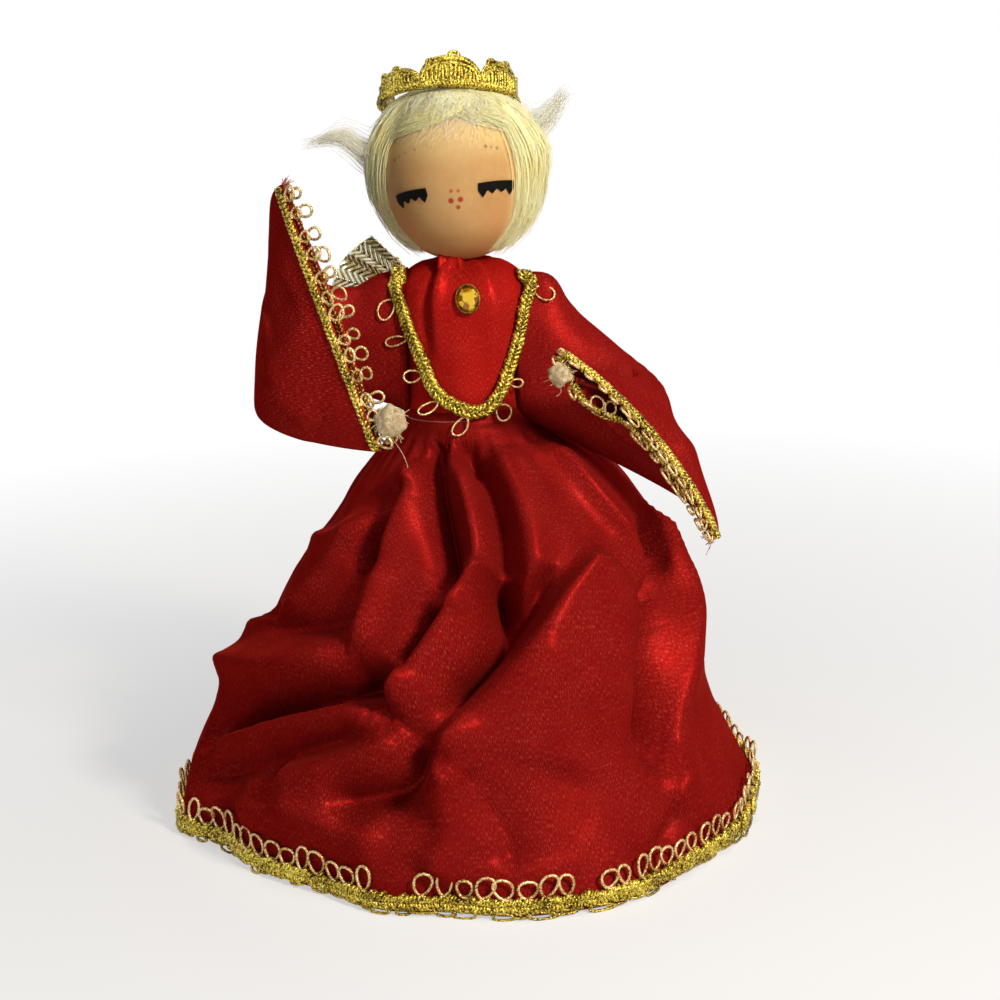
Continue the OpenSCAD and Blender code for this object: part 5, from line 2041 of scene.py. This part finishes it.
@dataclass
class Sleeve:
    """Bell sleeve cut in one with the bodice side, trimmed round its mouth, with a cotton hand."""

    side: Side
    top: tuple[Triple, ...]
    foot: tuple[Triple, ...]
    # sign of the turn's sine on the layer nearest the viewer
    near: int
    # how far the other layer opens at the mouth; pouch and bow also bag it out and bend the mouth
    lip: Triple
    lip_centre: float
    lip_width: float
    pouch: Triple = (0.0, 0.0, 0.0)
    bow: Triple = (0.0, 0.0, 0.0)
    folds: tuple[Fold, ...] = ()
    root_half: float = 7.0
    mouth_half: float = 1.3
    cap_puff: float = 3.0
    cloth: float = 0.35
    wire_gap: float = 1.0
    wire_reach: float = 5.0
    wire_spread: float = 30.0
    braid_width: float = 2.7
    plaits: tuple[Plait, ...] = (
        Plait(width=1.7, depth=1.0, strands=4, pitch=4.6),
        Plait(width=1.3, depth=0.8, strands=4, pitch=4.6, lift=0.25),
    )
    loops: LoopRow = LoopRow(pitch=5.6, width=3.1, height=3.6, cord=0.34, missing=0.06, wander=0.25, lean=0.1)
    hand_size: float = 1.12
    # first turn, last turn and number of threads
    frays: tuple[tuple[float, float, int], ...] = ((-14.0, 14.0, 40),)
    hand_fibres: int = 70
    tail: Triple = (0.0, 0.0, 0.0)
    seed: int = 31
    peaks: int = 26
    fibre: float = 0.1
    thread: float = 0.09
    braid_cord: float = 0.4
    loop_cord: float = 0.36
    # name, first turn and last turn of each layer of the mouth
    layers: tuple[tuple[str, float, float], ...] = (("front", 8.0, 172.0), ("back", 188.0, 352.0))

    def middle(self, s: Points) -> Points:
        """Middle line of the sleeve."""
        return (cubic(self.top, s) + cubic(self.foot, s)) / 2

    def bag(self, s: Points, turn: Points) -> Points:
        """Points of the sleeve.

        Args:
            s: shares of the way from the shoulder to the mouth.
            turn: degrees round it, 0 on its upper edge.

        Returns:
            One row of x, y, z for each place.
        """
        long, d = (cubic(self.top, s) - cubic(self.foot, s)) / 2, 0.01
        flat = unit(np.cross(unit(self.middle(s + d) - self.middle(s - d)), long))
        c, k = np.cos(np.radians(turn)), np.sin(np.radians(turn))
        half = mix(self.root_half, self.mouth_half, ease(s * 1.1))
        p = self.middle(s) + long * c[..., None] + flat * (half * np.sign(k) * np.abs(k) ** 0.8)[..., None]
        far = np.clip(-self.near * k, 0, 1) ** 0.6
        open_up = swell(c, self.lip_centre, self.lip_width) + 0.22 * np.clip(1 - c * c, 0, 1)
        p = p + np.asarray(self.lip) * (far * open_up * ease((s - 0.55) / 0.45))[..., None]
        p = p + np.asarray(self.bow) * ((1 - c * c) * ease((s - 0.5) / 0.5))[..., None]
        puff = np.clip(c, 0, 1) * swell(s, 0.1, 0.08)
        p = p + np.array([0.0, 0.0, self.cap_puff]) * puff[..., None]
        belly = swell(c, self.lip_centre, 1.15 * self.lip_width) * swell(s, 0.86, 0.1)
        return p + np.asarray(self.pouch) * (far * belly)[..., None]

    def out(self, s: Points, turn: Points) -> Points:
        """Ways out of the sleeve.

        Args:
            s: shares of the way from the shoulder to the mouth.
            turn: degrees round it, 0 on its upper edge.

        Returns:
            One way out for each place.
        """
        d, e = 0.004, 1.0
        ahead = self.bag(np.minimum(s + d, 1), turn) - self.bag(s - d, turn)
        round_it = self.bag(s, turn + e) - self.bag(s, turn - e)
        out = unit(np.cross(round_it, ahead))
        flip = np.sign(np.sum(out * (self.bag(s, turn) - self.middle(s)), axis=-1, keepdims=True) + 1e-9)
        return out * np.where(np.median(flip) < 0, -1.0, 1.0)

    def build(self) -> None:
        """Make the cloth, its trim and the hand."""
        cloth = self.satin()
        trims = [*self.trim(), self.fray()]
        self.hand()

    def satin(self) -> Piece:
        """Cloth from the bodice side to the mouth.

        Returns:
            The piece.
        """

        def place(u: Points, v: Points) -> Points:
            """Points of the cloth; v runs from the shoulder to the mouth.

            Args:
                u: shares across.
                v: shares up.

            Returns:
                One row of x, y, z for each place.
            """
            turn = u * 360
            p, out = self.bag(v, turn), self.out(v, turn)
            moved = folded(p, out, self.folds, lambda s, a: (self.bag(s, a), self.out(s, a)))
            p = p + moved * ease((1 - v) / 0.12)[:, None]
            soft = 0.15 * np.sin(np.radians(turn) * 5 + 9 * v) * ease(v / 0.3) * ease((1 - v) / 0.1)
            p = p + out * soft[:, None]
            return p + out * self.over_wire(p, out)[:, None]

        mesh = sheet_mesh(place, columns=120, rows=80, size=(130.0, 90.0), wrap=True, flip=self.side is Side.RIGHT)
        made = piece(f"{self.side.word}_sleeve_satin", mesh, SATIN, "satin", None, f"{self.side.word}_sleeve")
        cloth_thickness(made, self.cloth)
        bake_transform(made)
        return made

    def over_wire(self, points: Points, out: Points) -> Points:
        """How far the cloth is held out by the arm wire inside it.

        Args:
            points: points of the cloth.
            out: the way out of it at each point.

        Returns:
            One distance for each point.
        """
        wire = np.array([v.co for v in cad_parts[f"{self.side.word}_arm_wire"].data.vertices]) / MM
        push = np.zeros(len(points))
        for start in range(0, len(points), 800):
            part = slice(start, start + 800)
            gap = points[part, None] - wire[None]
            height = np.einsum("pwk,pk->pw", gap, out[part])
            aside = np.maximum(np.sum(gap * gap, axis=2) - height**2, 0)
            need = np.where(height > -self.wire_reach, self.wire_gap - height, 0)
            push[part] = np.max(np.maximum(need, 0) * np.exp(-aside / self.wire_spread), axis=1)
        return push

    def mouth(self, start: float, stop: float, back: float, lift: float) -> Route:
        """Route along one layer of the mouth.

        Args:
            start: turn where it starts.
            stop: turn where it stops.
            back: distance back from the edge.
            lift: height over the cloth.

        Returns:
            The route, its across side towards the open mouth.
        """
        turn = np.linspace(start, stop, 60)
        edge, inside = self.bag(np.full(60, 1.0), turn), self.bag(np.full(60, 0.93), turn)
        out = self.out(np.full(60, 0.985), turn)
        away = unit(inside - edge)
        route = Route(edge + away * back + out * lift, out)
        _, _, across, _ = route.at(np.array([route.length / 2]))
        if np.sum(across[0] * away[30]) > 0:
            route = Route((edge + away * back + out * lift)[::-1].copy(), out[::-1].copy())
        return route

    def trim(self) -> list[Piece]:
        """Plait and loops along both layers of the mouth.

        Returns:
            The trims.
        """
        rng = random.Random(self.seed)
        word, made = self.side.word, []
        for layer, start, stop in self.layers:
            braid = plaited(self.plaits, self.mouth(start, stop, back=self.braid_width / 2, lift=0.55), rng)
            loops = self.loops.tracks(self.mouth(start, stop, back=0.1, lift=0.5), rng)
            for name, tracks, cord, finish, slot, node in (
                ("plait", braid, self.braid_cord, WORN_BRAID, "gold_braid", "braid"),
                ("loops", loops, self.loop_cord, CORD, "gold_cord", "loops"),
            ):
                made.append(piece(
                    f"{word}_{layer}_mouth_{name}", cord_mesh(tracks, cord), finish, slot, self.side.arm,
                    f"{word}_sleeve_{layer}_{node}",
                ))
        return made

    def hand(self) -> None:
        """Torn lump of cotton on the end of the arm, with the fibres that stand out of it."""
        rng = random.Random(self.seed + 1)
        low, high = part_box(f"{self.side.word}_hand")
        middle, half = (low + high) / 2, (high - low) / 2
        bm = bmesh.new()
        bmesh.ops.create_icosphere(bm, subdivisions=4, radius=1.0)
        peaks = [(Vector(scatter(rng)).normalized(), rng.uniform(0.08, 0.26)) for _ in range(self.peaks)]
        for vert in bm.verts:
            way = vert.co.normalized()
            bulge = 0.92 + sum(size * math.exp(-((1 - way.dot(peak)) / 0.05)) for peak, size in peaks)
            vert.co = middle + Vector((way.x * half.x, way.y * half.y, way.z * half.z)) * bulge * self.hand_size
        word, arm = self.side.word, self.side.arm
        piece(f"{word}_cotton_hand", mesh_of(bm, "hand"), TORN_COTTON, "cotton", arm, f"{word}_hand")
        heart, size = np.array(middle) / MM, np.array(half) / MM
        tracks = []
        for _ in range(self.hand_fibres):
            way = unit(scatter(rng))
            bend = np.array([rng.uniform(-1, 1), rng.uniform(-1, 1), rng.uniform(-1.2, 0.6)])
            t = np.linspace(0, 1, 6)[:, None]
            root = heart + size * way * 0.85 * self.hand_size
            tracks.append(root + t * way * rng.uniform(0.5, 2.0) + t**2 * bend * 1.1)
        t = np.linspace(0, 1, 9)[:, None]
        tracks.append(heart - [0, 0, 1] * size + t * np.array(self.tail) + t * (1 - t) * np.array([2.5, 0.0, 0.0]))
        piece(f"{word}_hand_fibres", cord_mesh(tracks, self.fibre, sides=4), TORN_COTTON, "cotton", arm)

    def fray(self) -> Piece:
        """Threads of satin that hang out of the cut edge at the ends of the mouth.

        Returns:
            The piece.
        """
        rng = random.Random(self.seed + 2)
        tracks = []
        for start, stop, count in self.frays:
            for _ in range(count):
                s, turn = np.array([1.0]), np.array([rng.uniform(start, stop)])
                root, back = self.bag(s, turn)[0], self.bag(s - 0.06, turn)[0]
                way = unit(root - back) + 0.5 * scatter(rng)
                bend = scatter(rng)
                t = np.linspace(0, 1, 6)[:, None]
                tracks.append(root + t * way * rng.uniform(0.6, 2.2) + t**2 * bend * 0.5)
        mesh = cord_mesh(tracks, self.thread, sides=4)
        return piece(f"{self.side.word}_sleeve_fray", mesh, FRAY, "satin", self.side.arm)


RIGHT_SLEEVE = Sleeve(
    side=Side.RIGHT,
    top=((-14.0, -1.0, 148.5), (-40.0, -2.0, 130.0), (-54.0, -14.0, 170.0), (-43.5, -22.0, 174.7)),
    foot=((-14.5, -3.0, 111.0), (-51.0, 2.0, 129.0), (-77.0, -21.0, 111.0), (-21.0, -34.5, 108.6)),
    near=1,
    lip=(0.9, 0.0, 0.3),
    lip_centre=0.0,
    lip_width=0.8,
    folds=(
        Fold(((0.97, 88.0), (0.86, 102.0), (0.72, 118.0)), 1.9, 2.6, 5.5),
        Fold(((0.7, 128.0), (0.8, 134.0), (0.9, 144.0)), 1.5, 3.4, 6.0),
        Fold(((0.7, 88.0), (0.78, 84.0), (0.9, 76.0)), -1.6, 4.0, 5.0),
    ),
    tail=(4.0, 0.0, -8.0),
)

LEFT_SLEEVE = Sleeve(
    side=Side.LEFT,
    top=((14.0, -1.0, 147.5), (39.0, 1.0, 129.0), (66.0, -16.0, 109.0), (23.0, -32.5, 132.6)),
    foot=((14.5, -6.0, 110.0), (36.0, -17.0, 99.0), (74.0, -19.0, 84.0), (63.0, -27.0, 80.0)),
    near=-1,
    lip=(-3.0, -0.4, -3.3),
    wire_gap=1.2,
    wire_reach=9.0,
    lip_centre=0.6,
    lip_width=0.3,
    bow=(2.8, 0.0, 3.2),
    pouch=(0.5, 0.0, -10.0),
    folds=(
        Fold(((0.12, 330.0), (0.3, 320.0), (0.45, 310.0)), 2.0, 3.0, 4.0),
        Fold(((0.1, 300.0), (0.26, 296.0), (0.42, 290.0)), -2.0, 3.0, 3.5),
        Fold(((0.6, 250.0), (0.75, 262.0), (0.9, 270.0)), 1.8, 5.0, 6.0),
    ),
    loops=LoopRow(pitch=4.3, width=3.0, height=2.3, cord=0.36, missing=0.05, wander=0.35, lean=0.7),
    hand_size=0.8,
    hand_fibres=24,
    frays=((160.0, 200.0, 26),),
    tail=(-1.0, 0.0, -2.0),
    seed=43,
)


@dataclass
class Wings:
    """Pair of pleated foil wings behind the shoulder blades."""

    root: Triple = (4.0, 14.8, 135.0)
    inner: float = 3.0
    reach: float = 32.0
    right_top: float = 45.0
    left_top: float = -10.0
    spread: float = 54.0
    pleats: int = 3
    pleat_depth: float = 2.0
    foil: float = 0.25
    vein: float = 1.7
    vein_depth: float = 0.2
    vein_slant: float = 5.0

    def build(self) -> None:
        """Make both wings."""
        for side in Side:
            self.wing(side)

    def wing(self, side: Side) -> None:
        """Fan of foil with veins pressed slantwise into each pleat.

        Args:
            side: side of the doll.
        """
        folds = 2 * self.pleats
        top = self.right_top if side is Side.RIGHT else self.left_top

        def place(u: Points, v: Points) -> Points:
            """Points of the fan; u runs over the pleats and v outwards.

            Args:
                u: shares across.
                v: shares up.

            Returns:
                One row of x, y, z for each place.
            """
            i = u * folds
            edge = self.reach * (0.84 + 0.16 * np.sin(np.radians(144 - 126 * i / folds)))
            r = mix(self.inner, edge, v)
            zig = 1 - 2 * np.abs((i / 2) % 1.0 - 0.5) * 2
            pleat = -zig * self.pleat_depth * mix(0.4, 1.0, r / self.reach)
            slant = np.abs((i % 1.0) - 0.5)
            wave = np.sin(2 * np.pi * (r + self.vein_slant * slant) / self.vein)
            vein = self.vein_depth * wave * ease(v / 0.15)
            a = np.radians(top - self.spread * (1 - i / folds))
            x = side.value * (self.root[0] + r * np.cos(a))
            return np.stack([x, self.root[1] + 0.2 + pleat + vein, self.root[2] + r * np.sin(a)], axis=-1)

        mesh = sheet_mesh(place, columns=folds * 20, rows=96, size=(30.0, 30.0), flip=side is Side.RIGHT)
        made = piece(f"{side.word}_foil_wing", mesh, FOIL, "gold_foil", Body.TRUNK, f"{side.word}_wing")
        cloth_thickness(made, self.foil)


# ---------------------------------------------------------------- order of work


def main() -> None:
    """Build the studio, then the doll from the foundation outwards."""
    logging.basicConfig(level=logging.INFO, format="%(name)s %(message)s")
    Studio().build()
    Foundation().dress()
    head = Head()
    head.build()
    hair = Hair(head)
    hair.build()
    Crown(hair).build()
    Bodice(Torso()).build()
    Skirt().build()
    for sleeve in (RIGHT_SLEEVE, LEFT_SLEEVE):
        sleeve.build()
    Wings().build()


if __name__ == "__main__":
    main()
